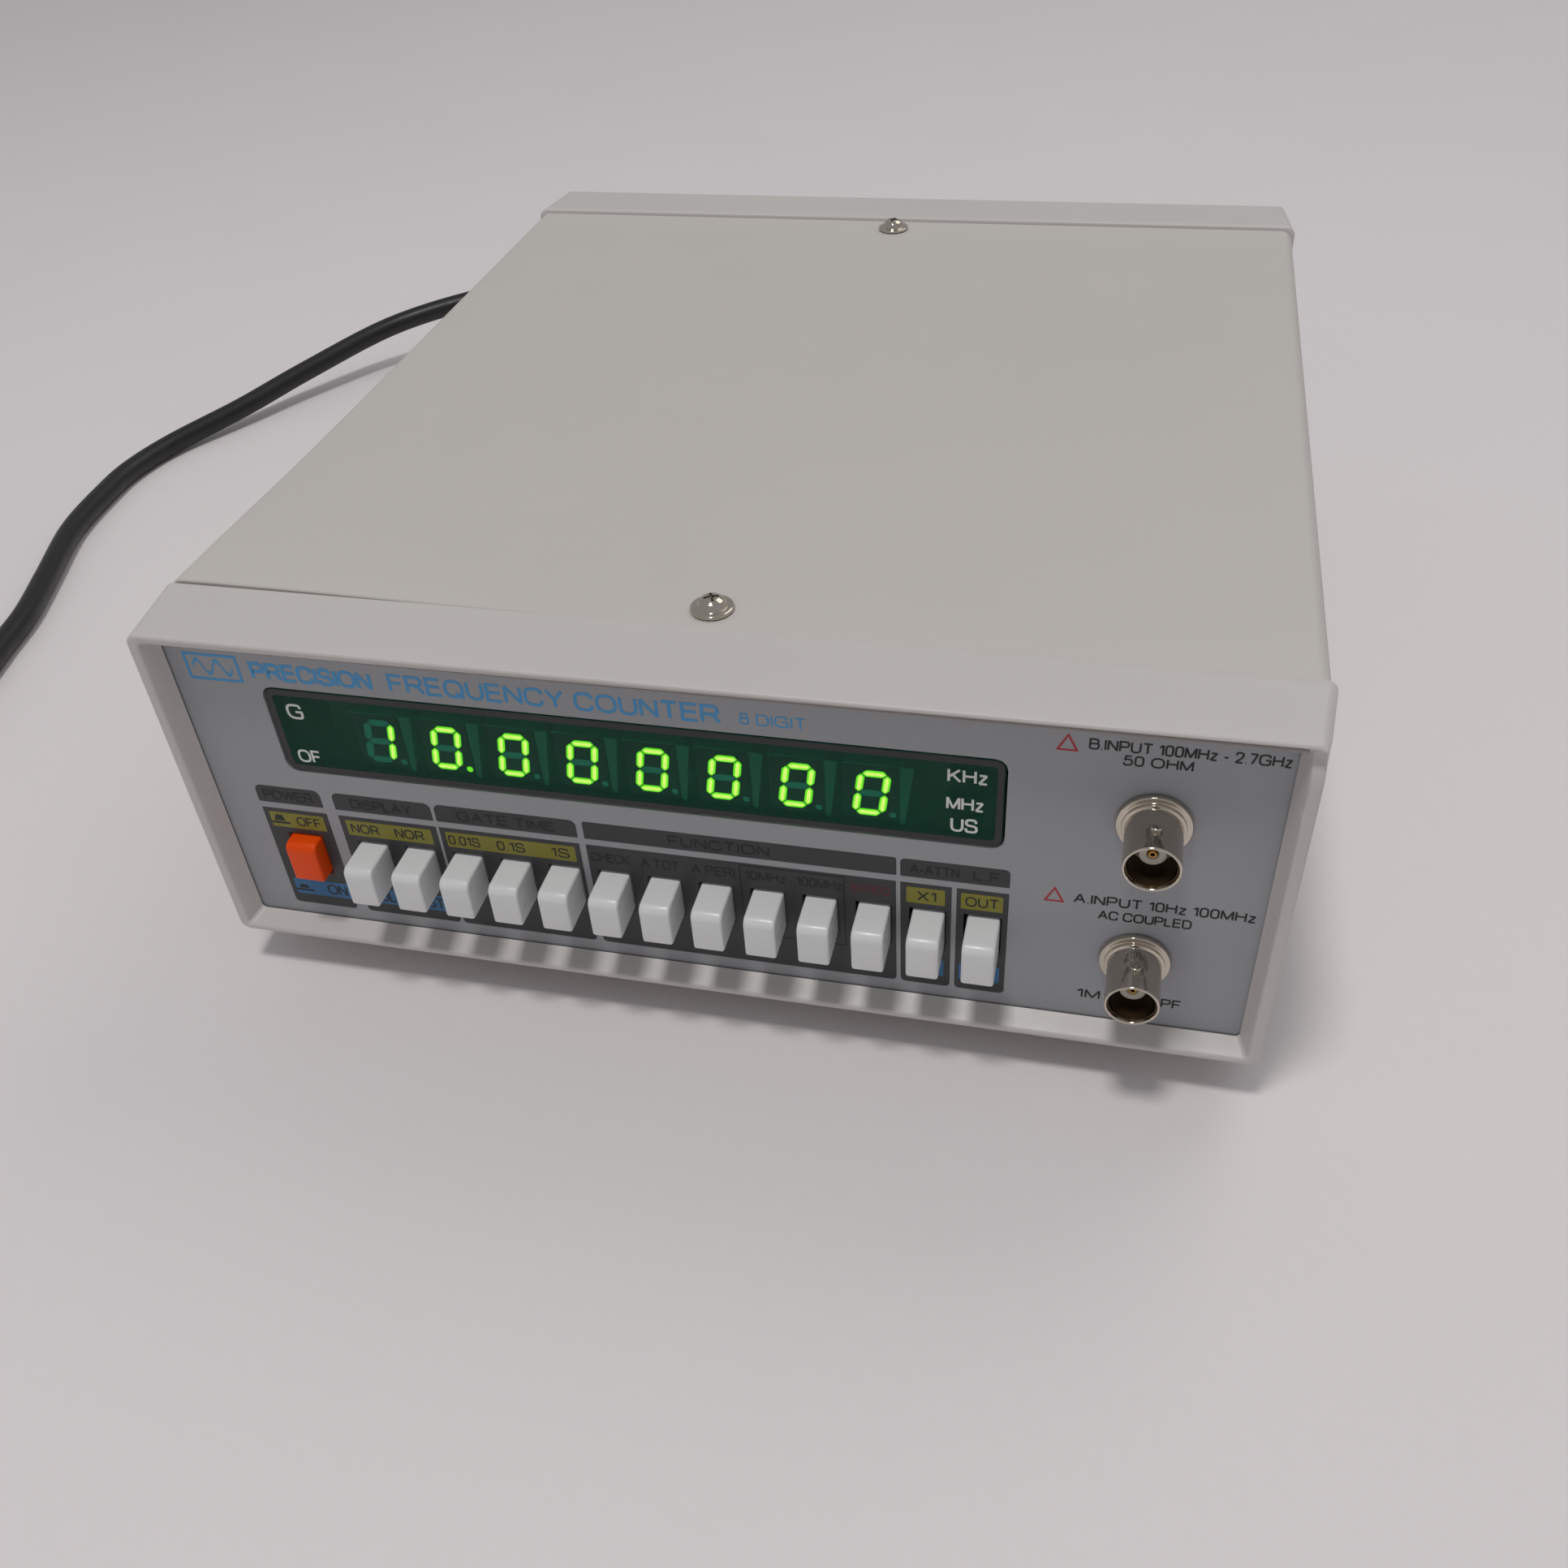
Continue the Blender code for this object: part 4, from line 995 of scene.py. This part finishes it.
def flat_form(outlines, thickness=LAYER):
    """Outlines in x and z as a thin plate facing the front. Inner outlines are holes."""
    curve = bpy.data.curves.new("flat", "CURVE")
    curve.dimensions = "2D"
    curve.fill_mode = "BOTH"
    curve.extrude = thickness / 2 * MM
    for outline in outlines:
        spline = curve.splines.new("POLY")
        spline.points.add(len(outline) - 1)
        for point, (x, z) in zip(spline.points, outline):
            point.co = (x * MM, z * MM, 0, 1)
        spline.use_cyclic_u = True
    mesh = evaluated_mesh(new_object("flat", curve))
    bpy.data.curves.remove(curve)
    form = bmesh.new()
    form.from_mesh(mesh)
    bpy.data.meshes.remove(mesh)
    bmesh.ops.remove_doubles(form, verts=form.verts, dist=1e-8)
    bmesh.ops.transform(form, matrix=FACING_FRONT, verts=form.verts)
    return form


def print_plate(ink, outlines, layer=1, face=FACE):
    """A printed patch on the front panel, on the layer of that number."""
    y = face - LAYER * (layer - 0.5)
    absorb(FORMS[ink], flat_form(outlines), Matrix.Translation(at(0, y, 0)))


# Letters: width and strokes. A stroke is a centre line of "x z" points, a capital is 1 high, a third
# number rounds that corner, and a stroke that ends where it starts is closed.
LETTERS = {
    "A": (0.88, "0 0, .44 1, .88 0 | .15 .34, .73 .34"),
    "B": (0.8, "0 0, 0 1, .74 1 .25, .74 .53 .25, .08 .53 | .6 .53, .8 .53 .2, .8 0 .27, .08 0"),
    "C": (0.88, ".88 .7, .8 1 .4, 0 1 .5, 0 0 .5, .8 0 .4, .88 .3"),
    "D": (0.84, "0 0, 0 1, .84 1 .5, .84 0 .5, .08 0"),
    "E": (0.74, ".74 1, 0 1, 0 0, .76 0 | 0 .53, .7 .53"),
    "F": (0.7, ".7 1, 0 1, 0 0 | 0 .52, .62 .52"),
    "G": (0.94, ".9 .74, .82 1 .4, 0 1 .5, 0 0 .5, .92 0 .4, .92 .48, .52 .48"),
    "H": (0.8, "0 0, 0 1 | .8 0, .8 1 | 0 .53, .8 .53"),
    "I": (0.0, "0 0, 0 1"),
    "K": (0.8, "0 0, 0 1 | .76 1, 0 .36 | .27 .58, .82 0"),
    "L": (0.64, "0 1, 0 0, .64 0"),
    "M": (0.92, "0 0, 0 1, .46 .03, .92 1, .92 0"),
    "N": (0.8, "0 0, 0 1, .8 0, .8 1"),
    "O": (0.96, "0 0 .5, .96 0 .5, .96 1 .5, 0 1 .5, 0 0 .5"),
    "P": (0.78, "0 0, 0 1, .78 1 .28, .78 .46 .28, .08 .46"),
    "Q": (0.96, "0 0 .5, .96 0 .5, .96 1 .5, 0 1 .5, 0 0 .5 | .58 .24, .98 -.06"),
    "R": (0.84, "0 0, 0 1, .8 1 .27, .8 .48 .27, .08 .48 | .4 .42, .6 .42 .1, .86 0"),
    "S": (0.8, ".76 .74, .7 1 .3, .04 1 .3, .02 .54 .28, .8 .48 .28, .8 0 .3, .04 0 .3, 0 .28"),
    "T": (0.8, "0 1, .8 1 | .4 1, .4 0"),
    "U": (0.8, "0 1, 0 0 .4, .8 0 .4, .8 1"),
    "W": (1.24, "0 1, .3 0, .62 1, .94 0, 1.24 1"),
    "X": (0.8, "0 1, .8 0 | 0 0, .8 1"),
    "Y": (0.84, "0 1, .42 .45, .84 1 | .42 .45, .42 0"),
    "z": (0.52, ".02 .7, .52 .7, 0 0, .54 0"),
    "0": (0.62, "0 0 .3, .62 0 .3, .62 1 .3, 0 1 .3, 0 0 .3"),
    "1": (0.3, "0 .76, .3 1, .3 0"),
    "2": (0.62, ".02 .72, .06 1 .3, .62 1 .3, .62 .58 .25, 0 0, .64 0"),
    "5": (0.62, ".56 1, .12 1, .04 .5, .16 .64 .1, .62 .64 .28, .62 0 .3, .02 0 .3, 0 .26"),
    "7": (0.6, "0 1, .62 1, .22 0"),
    "8": (
        0.62,
        "0 0 .25, .62 0 .25, .62 .54 .25, 0 .54 .25, 0 0 .25 |"
        ".05 .54 .2, .57 .54 .2, .57 1 .2, .05 1 .2, .05 .54 .2",
    ),
    ".": (0.08, "0 0, .08 0"),
    "-": (0.34, "0 .38, .34 .38"),
    " ": (0.14, ""),
}
LETTER_GAP = 0.27
STROKE_LIFT = 0.006  # keeps the strokes of one letter off each other
SHARPEST_MITRE = -0.1  # cosine of the turn past which a stroke is cut in two


def stroke_form(line, weight, closed, lift=0.0):
    """A flat ribbon of even width along a line in x and z."""
    count = len(line)
    rings = []
    for i, here in enumerate(line):
        before = line[i - 1] if closed or i else here
        after = line[(i + 1) % count] if closed or i < count - 1 else here
        into = (Vector(here) - Vector(before)).normalized()
        out = (Vector(after) - Vector(here)).normalized()
        along = (into + out).normalized()
        turn = max(along.dot(out if out.length else into), 0.6)
        side = Vector((-along.y, along.x)) * weight / 2 / turn
        left, right = Vector(here) + side, Vector(here) - side
        front, back = -LAYER / 2 - lift, LAYER / 2
        corners = ((left, front), (right, front), (right, back), (left, back))
        rings.append([(point.x, y, point.y) for point, y in corners])
    return loft(rings, closed=closed, caps=not closed)


def split_sharp(line):
    """The line cut where it turns back on itself, so that each piece keeps its full width."""
    pieces = [[line[0]]]
    for before, here, after in zip(line, line[1:], line[2:]):
        pieces[-1].append(here)
        into = (Vector(here) - Vector(before)).normalized()
        out = (Vector(after) - Vector(here)).normalized()
        if into.dot(out) < SHARPEST_MITRE:
            pieces.append([here])
    pieces[-1].append(line[-1])
    return pieces


def strokes_of(text):
    return [
        [tuple(float(number) for number in point.split()) for point in stroke.split(",")]
        for stroke in text.split("|")
        if text
    ]


def without_repeats(line):
    """The line without the points that lie on the one before."""
    gaps = [1.0, *((Vector(b) - Vector(a)).length for a, b in zip(line, line[1:]))]
    return [point for point, gap in zip(line, gaps) if gap > 1e-4]


def lettering(ink, words, left, right, low, high, layer=3, face=FACE, weight=0.13, rear=False):
    """Words that fill a box, low and high being a capital letter's foot and top."""
    total = sum(LETTERS[letter][0] + LETTER_GAP for letter in words) - LETTER_GAP
    tall = (high - low) * (1 - weight)
    line_width = (high - low) * weight
    wide = (right - left - line_width) / total
    cursor = 0.0
    gathered = bmesh.new()
    for letter in words:
        width, text = LETTERS[letter]
        lift = 0.0
        for stroke in strokes_of(text):
            closed = stroke[0] == stroke[-1] and len(stroke) > 3 and len(stroke[0]) == 3
            points = stroke[:-1] if closed else stroke
            corners = [((cursor + p[0]) * wide, p[1] * tall) for p in points]
            radii = [(p[2] if len(p) > 2 else 0) * tall for p in points]
            line = without_repeats(softened(corners, radii, closed, 5))
            for piece in [line] if closed else split_sharp(line):
                absorb(gathered, stroke_form(piece, line_width, closed, lift))
                lift += STROKE_LIFT
        cursor += width + LETTER_GAP
    half = line_width / 2
    if rear:
        place = Matrix.Translation(Vector((right - half, BACK_FACE + LAYER / 2, low + half)) * MM)
        absorb(FORMS[ink], gathered, place @ Matrix.Rotation(math.pi, 4, "Z"))
        return
    y = face - LAYER * (layer - 0.5)
    absorb(FORMS[ink], gathered, Matrix.Translation(at(left + half, y, low + half)))


def frame_of(left, right, low, high, line, radius=0.3):
    """The outer and inner outline of a thin box."""
    return [
        arc_rect(left, right, low, high, radius),
        arc_rect(left + line, right - line, low + line, high - line, max(radius - line, 0.1)),
    ]


BUTTON_PITCH = 10.12
FIRST_BUTTON = -69.2
POWER_X = -83.9
WHITE_WIDE, ORANGE_WIDE = 6.0, 6.6
SLOT = (0.8, 0.3, 15.0, 25.75)  # left and right of the cap, low and high edge
BODY_LOW, BODY_HIGH = 5.8, 32.0  # of the dark blocks round the buttons
BODY_CORNERS = [1.0, 1.0, 0.2, 0.2]
HEADER_LOW, HEADER_HIGH = 33.5, 37.8


def slot_outline(x, width):
    left, right, low, high = SLOT
    return arc_rect(x - width / 2 - left, x + width / 2 + right, low, high, 0.2, 2)


WHITE_XS = [FIRST_BUTTON + BUTTON_PITCH * step for step in range(13)]

# Body block: left, right, width of its caps, and where they stand
BODY_BLOCKS = [
    (-91.7, -77.6, ORANGE_WIDE, [POWER_X]),
    (-75.1, -54.3, WHITE_WIDE, WHITE_XS[0:2]),
    (-53.7, -24.8, WHITE_WIDE, WHITE_XS[2:5]),
    (-23.5, 36.1, WHITE_WIDE, WHITE_XS[5:11]),
    (36.9, 46.3, WHITE_WIDE, WHITE_XS[11:12]),
    (47.2, 56.6, WHITE_WIDE, WHITE_XS[12:13]),
]
# Header block: left, right, corner radius, words and where they stand
HEADERS = [
    (-91.8, -77.8, 1.4, "POWER", -90.4, -79.6),
    (-75.2, -54.4, 1.4, "DISPLAY", -71.6, -58.6),
    (-53.7, -24.8, 1.4, "GATE TIME", -49.2, -29.1),
    (-23.5, 36.2, 0.5, "FUNCTION", -6.8, 12.7),
]


def print_blocks():
    for left, right, corner, words, text_left, text_right in HEADERS:
        outline = arc_rect(left, right, HEADER_LOW, HEADER_HIGH, [0.2, 0.2, corner, corner])
        print_plate("block_print", [outline])
        lettering("dark_print", words, text_left, text_right, 34.3, 36.8, 2, weight=0.17)
    outline = arc_rect(36.9, 56.6, HEADER_LOW, HEADER_HIGH, [0.2, 0.2, 1.0, 1.0])
    print_plate("block_print", [outline])
    lettering("dark_print", "A-ATTN", 38.6, 47.7, 34.4, 36.7, 2, weight=0.16)
    lettering("dark_print", "L.F", 50.0, 54.9, 34.4, 36.7, 2, weight=0.16)
    for left, right, width, xs in BODY_BLOCKS:
        body = arc_rect(left, right, BODY_LOW, BODY_HIGH, BODY_CORNERS)
        print_plate("block_print", [body] + [slot_outline(x, width) for x in xs])


# Label: left, right, and its words with their ends
YELLOW_LABELS = [
    (-90.6, -78.7, [("OFF", -84.9, -79.6)]),
    (-73.9, -55.6, [("NOR", -73.0, -67.0), ("NOR", -63.6, -57.4)]),
    (-52.6, -25.9, [("0.01S", -52.2, -45.6), ("0.1S", -42.1, -36.3), ("1S", -30.9, -27.2)]),
    (38.0, 45.1, [("X1", 40.0, 43.5)]),
    (48.0, 55.6, [("OUT", 48.8, 54.9)]),
]
BLUE_LABELS = [
    (-90.6, -77.9, [("ON", -83.2, -78.8)]),
    (-73.9, -55.6, [("HOLD", -73.2, -66.0), ("RST", -63.0, -57.0)]),
    (38.0, 45.1, [("X20", 38.9, 44.2)]),
    (48.0, 55.6, [("IN", 50.4, 53.4)]),
]
LABEL_EDGE = 0.75  # from a label's edge to its words


def print_labels():
    for labels, low, high, ink in (
        (YELLOW_LABELS, 27.1, 31.0, "yellow_print"),
        (BLUE_LABELS, 8.4, 12.7, "blue_print"),
    ):
        for left, right, texts in labels:
            print_plate(ink, [arc_rect(left, right, low, high, 0.25)], 2)
            for words, text_left, text_right in texts:
                foot, top = low + LABEL_EDGE, high - LABEL_EDGE
                lettering("dark_print", words, text_left, text_right, foot, top)
    for z, pressed in ((28.0, False), (9.3, True)):
        add_button_icon(-88.6, z, pressed)
    for words, left, right in (
        ("CHECK", -22.8, -15.0),
        ("A TOT", -12.9, -5.2),
        ("A PERI", -2.9, 5.6),
        ("10MHz", 7.5, 15.4),
        ("100MHz", 17.4, 26.1),
    ):
        lettering("dark_print", words, left, right, 27.9, 30.2, 2, weight=0.13)
    lettering("dull_red_print", "B.FREQ", 27.7, 34.9, 28.0, 30.1, 2, weight=0.13)
    print_plate("dark_print", frame_of(6.5, 26.5, 13.4, 31.5, 0.25), 2)


def add_button_icon(x, z, pressed):
    """A push button's side view: a cap over its base line."""
    foot = z + 0.8
    top = foot + (1.3 if pressed else 2.0) * 0.75
    print_plate("dark_print", [[(x - 1.2, foot), (x + 1.2, foot), (x + 0.7, top), (x - 0.7, top)]], 3)
    print_plate("dark_print", [arc_rect(x - 2.0, x + 2.0, z, z + 0.5, 0.1)], 3)


def print_titles():
    """A plain wave mark, the instrument's kind and its digit count."""
    print_plate("title_print", frame_of(-96.8, -85.7, 62.9, 69.0, 0.6, 0.4))
    wave = []
    for side in (0.45, -0.45):
        line = []
        for step in range(25):
            share = step / 24
            z = 65.95 + 1.55 * math.sin(4 * math.pi * share) + side
            line.append((-95.3 + 8.1 * share, z))
        wave += line if side > 0 else line[::-1]
    print_plate("title_print", [wave])
    lettering("title_print", "PRECISION", -83.6, -59.2, 64.1, 68.1, 1, weight=0.19)
    lettering("title_print", "FREQUENCY COUNTER", -56.0, 5.9, 64.2, 68.3, 1, weight=0.155)
    lettering("title_print", "8 DIGIT", 9.2, 21.0, 64.7, 67.2, 1, weight=0.13)


def print_inputs():
    for words, left, right, low, high in (
        ("B.INPUT 100MHz - 2.7GHz", 67.85, 99.4, 66.6, 68.9),
        ("50 OHM", 73.5, 84.6, 63.95, 66.1),
        ("A.INPUT 10Hz 100MHz", 67.85, 98.9, 31.9, 34.25),
        ("AC COUPLED", 72.35, 88.5, 28.6, 30.8),
        ("1M", 70.1, 74.4, 7.6, 10.0),
        ("PF", 85.4, 89.1, 7.6, 10.0),
    ):
        lettering("black_print", words, left, right, low, high, 1, weight=0.15)
    for z in (65.85, 31.6):
        left, right, top = 62.6, 66.35, z + 3.65
        middle = (left + right) / 2
        outer = [(left, z), (right, z), (middle, top)]
        inner = [(left + 0.62, z + 0.36), (right - 0.62, z + 0.36), (middle, top - 0.75)]
        print_plate("red_print", [softened(outer, 0.25, True), inner])


def print_rear():
    lettering("rear_print", "FUSE", -46.5, -37.5, 16.5, 18.8, weight=0.17, rear=True)
    lettering("rear_print", "AC INPUT", -92.0, -74.0, 40.5, 42.8, weight=0.17, rear=True)


def finish_prints():
    for ink, form in FORMS.items():
        add_piece(ink, mesh_of(form, ink, 30), PRINTS[ink])


# ---------------------------------------------------------------- display

WINDOW_FACE = FACE + 0.2
DIGIT_HIGH = 10.2
DIGIT_WIDE = 6.1
STROKE = 1.4
SLANT = math.tan(math.radians(8))
GLYPHS = {"0": "abcdef", "1": "bc"}
READING = ("1", "0.", "0", "0", "0", "0", "0", "0")
POINT_RADIUS = 0.62
CORE_INSET = 0.36  # how much narrower a lit bar's bright middle is, on each side


def segment_outline(name, shrink=0.0):
    """One bar of a seven-segment digit, centred on the digit's middle, before slanting."""
    half_w = (DIGIT_WIDE - STROKE) / 2
    half_h = (DIGIT_HIGH - STROKE) / 2
    gap = 0.16 + shrink
    half = STROKE / 2 - shrink
    if name in "adg":
        z = {"a": half_h, "d": -half_h, "g": 0.0}[name]
        ends = (-half_w + gap, half_w - gap)
        line = [(ends[0], z), (ends[0] + half, z + half), (ends[1] - half, z + half), (ends[1], z),
                (ends[1] - half, z - half), (ends[0] + half, z - half)]
    else:
        x = half_w if name in "bc" else -half_w
        low, high = (gap, half_h - gap) if name in "bf" else (-half_h + gap, -gap)
        line = [(x, low), (x + half, low + half), (x + half, high - half), (x, high),
                (x - half, high - half), (x - half, low + half)]
    return softened([(px + pz * SLANT, pz) for px, pz in line], 0.18, True, 2)


def point_outline():
    x, z = DIGIT_WIDE / 2 + 0.75, -DIGIT_HIGH / 2 + 0.55
    angles = [math.pi * step / 8 for step in range(16)]
    return [(x + POINT_RADIUS * math.cos(a), z + POINT_RADIUS * math.sin(a)) for a in angles]


def box_mesh(name, low, high, edge, segments=2):
    form = bmesh.new()
    block(form, low, high, edge, segments)
    return mesh_of(form, name)


def make_digits():
    """A moulded block for each digit, its darker face, a green wedge glowing with painted light
    between the blocks, and its bars, the unlit ones with a painted glow.
    """
    body = box_mesh("digit_module", (-5.0, 0.25, -6.4), (5.0, 6.0, 6.4), 0.25, 3)
    face = box_mesh("digit_face", (-4.8, 0.0, -6.2), (4.8, 0.4, 6.2), 0.12)
    # Outline of the painted light: a wedge beside the block and a band along its top
    wedge = [(5.15, -6.3), (5.9, -6.3), (7.5, 6.4), (-5.0, 6.65), (-5.0, 6.42), (5.15, 6.42)]
    for number, (character, *point) in enumerate(READING, 1):
        node = f"display_digit_{number}"
        lit = [segment_outline(name) for name in GLYPHS[character]]
        dark = [segment_outline(name) for name in "abcdefg" if name not in GLYPHS[character]]
        cores = [segment_outline(name, CORE_INSET) for name in GLYPHS[character]]
        (lit if point else dark).append(point_outline())
        add_piece(
            f"digit_{number}_module", body, MODULE, front_middle(node), nodes=[node]
        )
        for part, shape, look in (
            ("face", face, MODULE_FACE),
            ("painted_light_wedge", flat_form([wedge], 0.3), PAINTED_GAP_LIGHT),
            ("lit", flat_form(lit, 0.16), LIT),
            ("cores", flat_form(cores, 0.24), LIT_CORE),
            ("unlit", flat_form(dark, 0.1), UNLIT_PAINTED_GLOW),
        ):
            add_piece(f"digit_{number}_{part}", shape, look, front_middle(node))


def window_outline(inset, down=0.0):
    low, high = WINDOW_LOW, WINDOW_HIGH
    left, right = low.x + inset, high.x - inset
    return arc_rect(left, right, low.z - down + inset, high.z - down - inset, 2.0 - inset, 8)


def make_window():
    rings = []
    for y, inset in ((WINDOW_LOW.y, 0.2), (WINDOW_LOW.y + 0.2, 0), (WINDOW_HIGH.y, 0)):
        rings.append([(x, y, z) for x, z in window_outline(inset)])
    form = loft(rings, caps=True)
    add_piece("display_filter", form, WINDOW, nodes=["display_window"])
    outer = window_outline(0.25, BASE)
    inner = arc_rect(-81.0, 53.5, 44.2, 60.7, 0.9, 6)
    print_plate("window_frame_print", [outer, inner], 1, WINDOW_FACE)
    for words, left, right, low, high in (
        ("G", -78.9, -75.5, 55.4, 58.95),
        ("OF", -79.6, -74.7, 44.9, 48.0),
        ("KHz", 45.0, 51.9, 56.5, 59.5),
        ("MHz", 44.9, 51.4, 50.4, 53.3),
        ("US", 45.7, 50.5, 45.4, 48.6),
    ):
        lettering("window_print", words, left, right, low, high, 1, WINDOW_FACE, 0.15)


# ---------------------------------------------------------------- buttons


def cap_mesh(name, width, height, length):
    """A moulded cap, its upper front edge well rounded, on a stem. Its origin is on its face."""
    form = bmesh.new()
    for vertex in bmesh.ops.create_cube(form, size=1.0)["verts"]:
        x, y, z = vertex.co
        vertex.co = Vector((x * width, (y + 0.5) * length, z * height)) * MM
    top_front = [e for e in form.edges if all(v.co.y < 1e-6 and v.co.z > 0 for v in e.verts)]
    round_edges(form, top_front, 1.7, 7)
    sharp = [e for e in form.edges if e.calc_face_angle(0) > math.radians(30)]
    round_edges(form, sharp, 0.55, 4)
    block(form, (-1.5, length - 0.5, -2), (1.5, length + 22, 2), 0.25)
    return mesh_of(form, name, 50)


def make_buttons():
    white = cap_mesh("button_white_cap", WHITE_WIDE, 9.2, 14.75)
    orange = cap_mesh("button_orange_cap", ORANGE_WIDE, 9.4, 12.0)
    for body in sorted(name for name in frame["bodies"] if "_button_" in name):
        node = body.removesuffix("_body")
        mesh, look, slot = white, WHITE_CAP, "button_white"
        if node == "power_button":
            mesh, look, slot = orange, ORANGE_CAP, "button_orange"
        add_piece(f"{node}_cap", mesh, look, front_middle(node), body=body, nodes=[node])


print_blocks()
print_labels()
print_titles()
print_inputs()
make_digits()
make_window()
print_rear()
finish_prints()
make_buttons()

# ---------------------------------------------------------------- input sockets


def socket_mesh():
    """A bayonet socket turned from one piece, with its two lugs. Heights run forward."""
    rim = FACE + 7.2
    profile = [
        (4.25, rim - 0.25), (4.38, rim), (4.68, rim), (4.8, rim - 0.2), (4.8, 2.15), (5.1, 2.05),
        (5.35, 1.95), (5.35, 1.35), (5.6, 1.3), (6.2, 1.3), (6.35, 1.1), (6.35, 0.3), (4.6, 0.3),
    ]
    thread = 0.8
    for step in range(12):
        depth = 0.0 - thread * step
        profile += [(4.6, depth), (4.25, depth - thread / 2)]
    profile += [(4.5, -10.0), (2.4, -10.0), (2.4, -12.4), (0, -12.4), (0, 3.0), (4.25, 3.0)]
    form = lathe(profile, 96, 0.08, closed=True)
    for sign in (1, -1):
        lug = lathe([(0, 5.55), (0.82, 5.55), (1.0, 5.38), (1.0, 4.45), (0, 4.45)], 32, 0.12)
        turn = Matrix.Rotation(-sign * math.pi / 2, 4, "X")
        absorb(form, lug, Matrix.Translation(Vector((0, 0, FACE + 2.6)) * MM) @ turn)
    return mesh_of(form, "socket_shell", 40)


BORE_HIGH = FACE + 6.5  # how far forward the painted shade inside a socket's bore reaches


def nut_mesh():
    rings = []
    for y, radius in ((0.0, 6.4), (0.25, 6.9), (1.95, 6.9), (2.2, 6.4)):
        rings.append([(p.x, p.y, y) for p in hexagon(radius)])
    for y in (2.2, 0.0):
        rings.append([(x, z, y) for x, z, _ in ring(4.9, 0, 48)])
    return mesh_of(loft(rings, closed=True), "socket_nut", 25)


def make_sockets():
    shell = socket_mesh()
    profile = [(0.95, 7.6), (1.15, 8.0), (2.15, 8.0), (2.3, 7.85), (2.3, 5.0), (4.1, 5.0)]
    profile += [(4.1, 3.3), (0, 3.3), (0, 4.6), (0.95, 4.6)]
    insulator = turned(profile, "socket_insulator", 64, 0.08, True)
    profile = [(0.36, 7.9), (0.42, 8.02), (0.62, 8.02), (0.7, 7.9), (0.7, 4.9), (0, 4.9)]
    contact = turned(profile + [(0, 5.6), (0.36, 5.6)], "socket_contact", 48, 0.04, True)
    # A thin tube inside each bore, coloured as painted shade
    profile = [(4.1, BORE_HIGH), (4.24, BORE_HIGH), (4.24, 3.1), (4.1, 3.1)]
    bore_shade = turned(profile, "socket_bore_shade", 64, 0.02, True)
    nut = nut_mesh()
    for letter in "ab":
        place = front_middle(f"input_{letter}_insulator")
        place.y = PANEL_LOW.y * MM
        for part, mesh, look, slot in (
            ("connector", shell, BRIGHT_NICKEL, "nickel"),
            ("insulator", insulator, INSULATOR, "insulator_white"),
            ("contact", contact, GOLD, "gold"),
            ("bore_shade", bore_shade, BORE_SHADE, "nickel"),
        ):
            nodes = [] if part == "bore_shade" else [f"input_{letter}_{part}"]
            add_piece(f"socket_{letter}_{part}", mesh, look, place, FACING_FRONT, nodes=nodes)
        node = f"input_{letter}_nut"
        place.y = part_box(node)[0].y
        add_piece(f"socket_{letter}_nut", nut, NICKEL, place, FACING_REAR, nodes=[node])


def hexagon(radius, per_side=8):
    """Points round a hexagon, as many as the nut's bore has."""
    angles = [math.pi / 3 * corner for corner in range(6)]
    corners = [Vector((radius * math.cos(a), radius * math.sin(a))) for a in angles]
    points = []
    for first, second in zip(corners, corners[1:] + corners[:1]):
        points += [first.lerp(second, step / per_side) for step in range(per_side)]
    return points


# ---------------------------------------------------------------- rear panel fittings


def make_fuse():
    """The holder's flange and threaded body, and a knurled bayonet cap with a driver slot."""
    place = front_middle("fuse_cap")
    place.y = BACK_FACE * MM
    profile = [(3.7, 2.8), (7.0, 2.8), (7.5, 2.3), (7.5, 0.3), (6.0, 0.3)]
    for step in range(14):
        profile += [(6.0, -0.2 - 1.1 * step), (5.7, -0.75 - 1.1 * step)]
    profile += [(5.2, -16.5), (5.2, -24), (0, -24), (0, -16), (3.7, -16)]
    add_piece(
        "fuse_holder_body", lathe(profile, 64, 0.12, closed=True), BLACK, place,
        FACING_REAR, nodes=["fuse_holder"],
    )
    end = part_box("fuse_cap")[1].y / MM - BACK_FACE
    stations = [
        (0.01, end, 0), (4.9, end, 0), (5.3, end - 0.15, 0), (5.65, end - 0.7, 0.05),
        (5.75, end - 1.0, 0.16), (5.75, 3.7, 0.16), (5.6, 3.3, 0.05), (5.4, 3.1, 0), (3.3, 3.1, 0),
        (3.3, -15.6, 0), (0.01, -15.6, 0),
    ]
    rings = [ring(radius, height, 144, ripple, 36) for radius, height, ripple in stations]
    cap = mesh_of(loft(rings, caps=True), "fuse_cap_blank", 30)
    knob = carve(cap, box_mesh("slot", (-9, -0.7, end - 1.6), (9, 0.7, end + 2), 0.15))
    add_piece(
        "fuse_cap_knob", knob, BLACK, place, FACING_REAR, body="fuse_cap_body",
        nodes=["fuse_cap"],
    )


make_sockets()
make_fuse()

# ---------------------------------------------------------------- carried-over CAD nodes

SWITCHES = ("power", "display", "gate", "function", "attenuator", "filter")
CAD_LOOKS = (
    (PANEL, "panel_paint", ("front_panel", "rear_panel")),
    (BOARD, "board_green", ("display_board", "main_board")),
    (IRON, "transformer_iron", ("transformer",)),
    (BLACK, "black_plastic", [f"{name}_switch" for name in SWITCHES]),
)
for look, slot, names in CAD_LOOKS:
    for name in names:
        cad = frame["nodes"][name]
        cad.data.materials.clear()
        cad.data.materials.append(look.material)
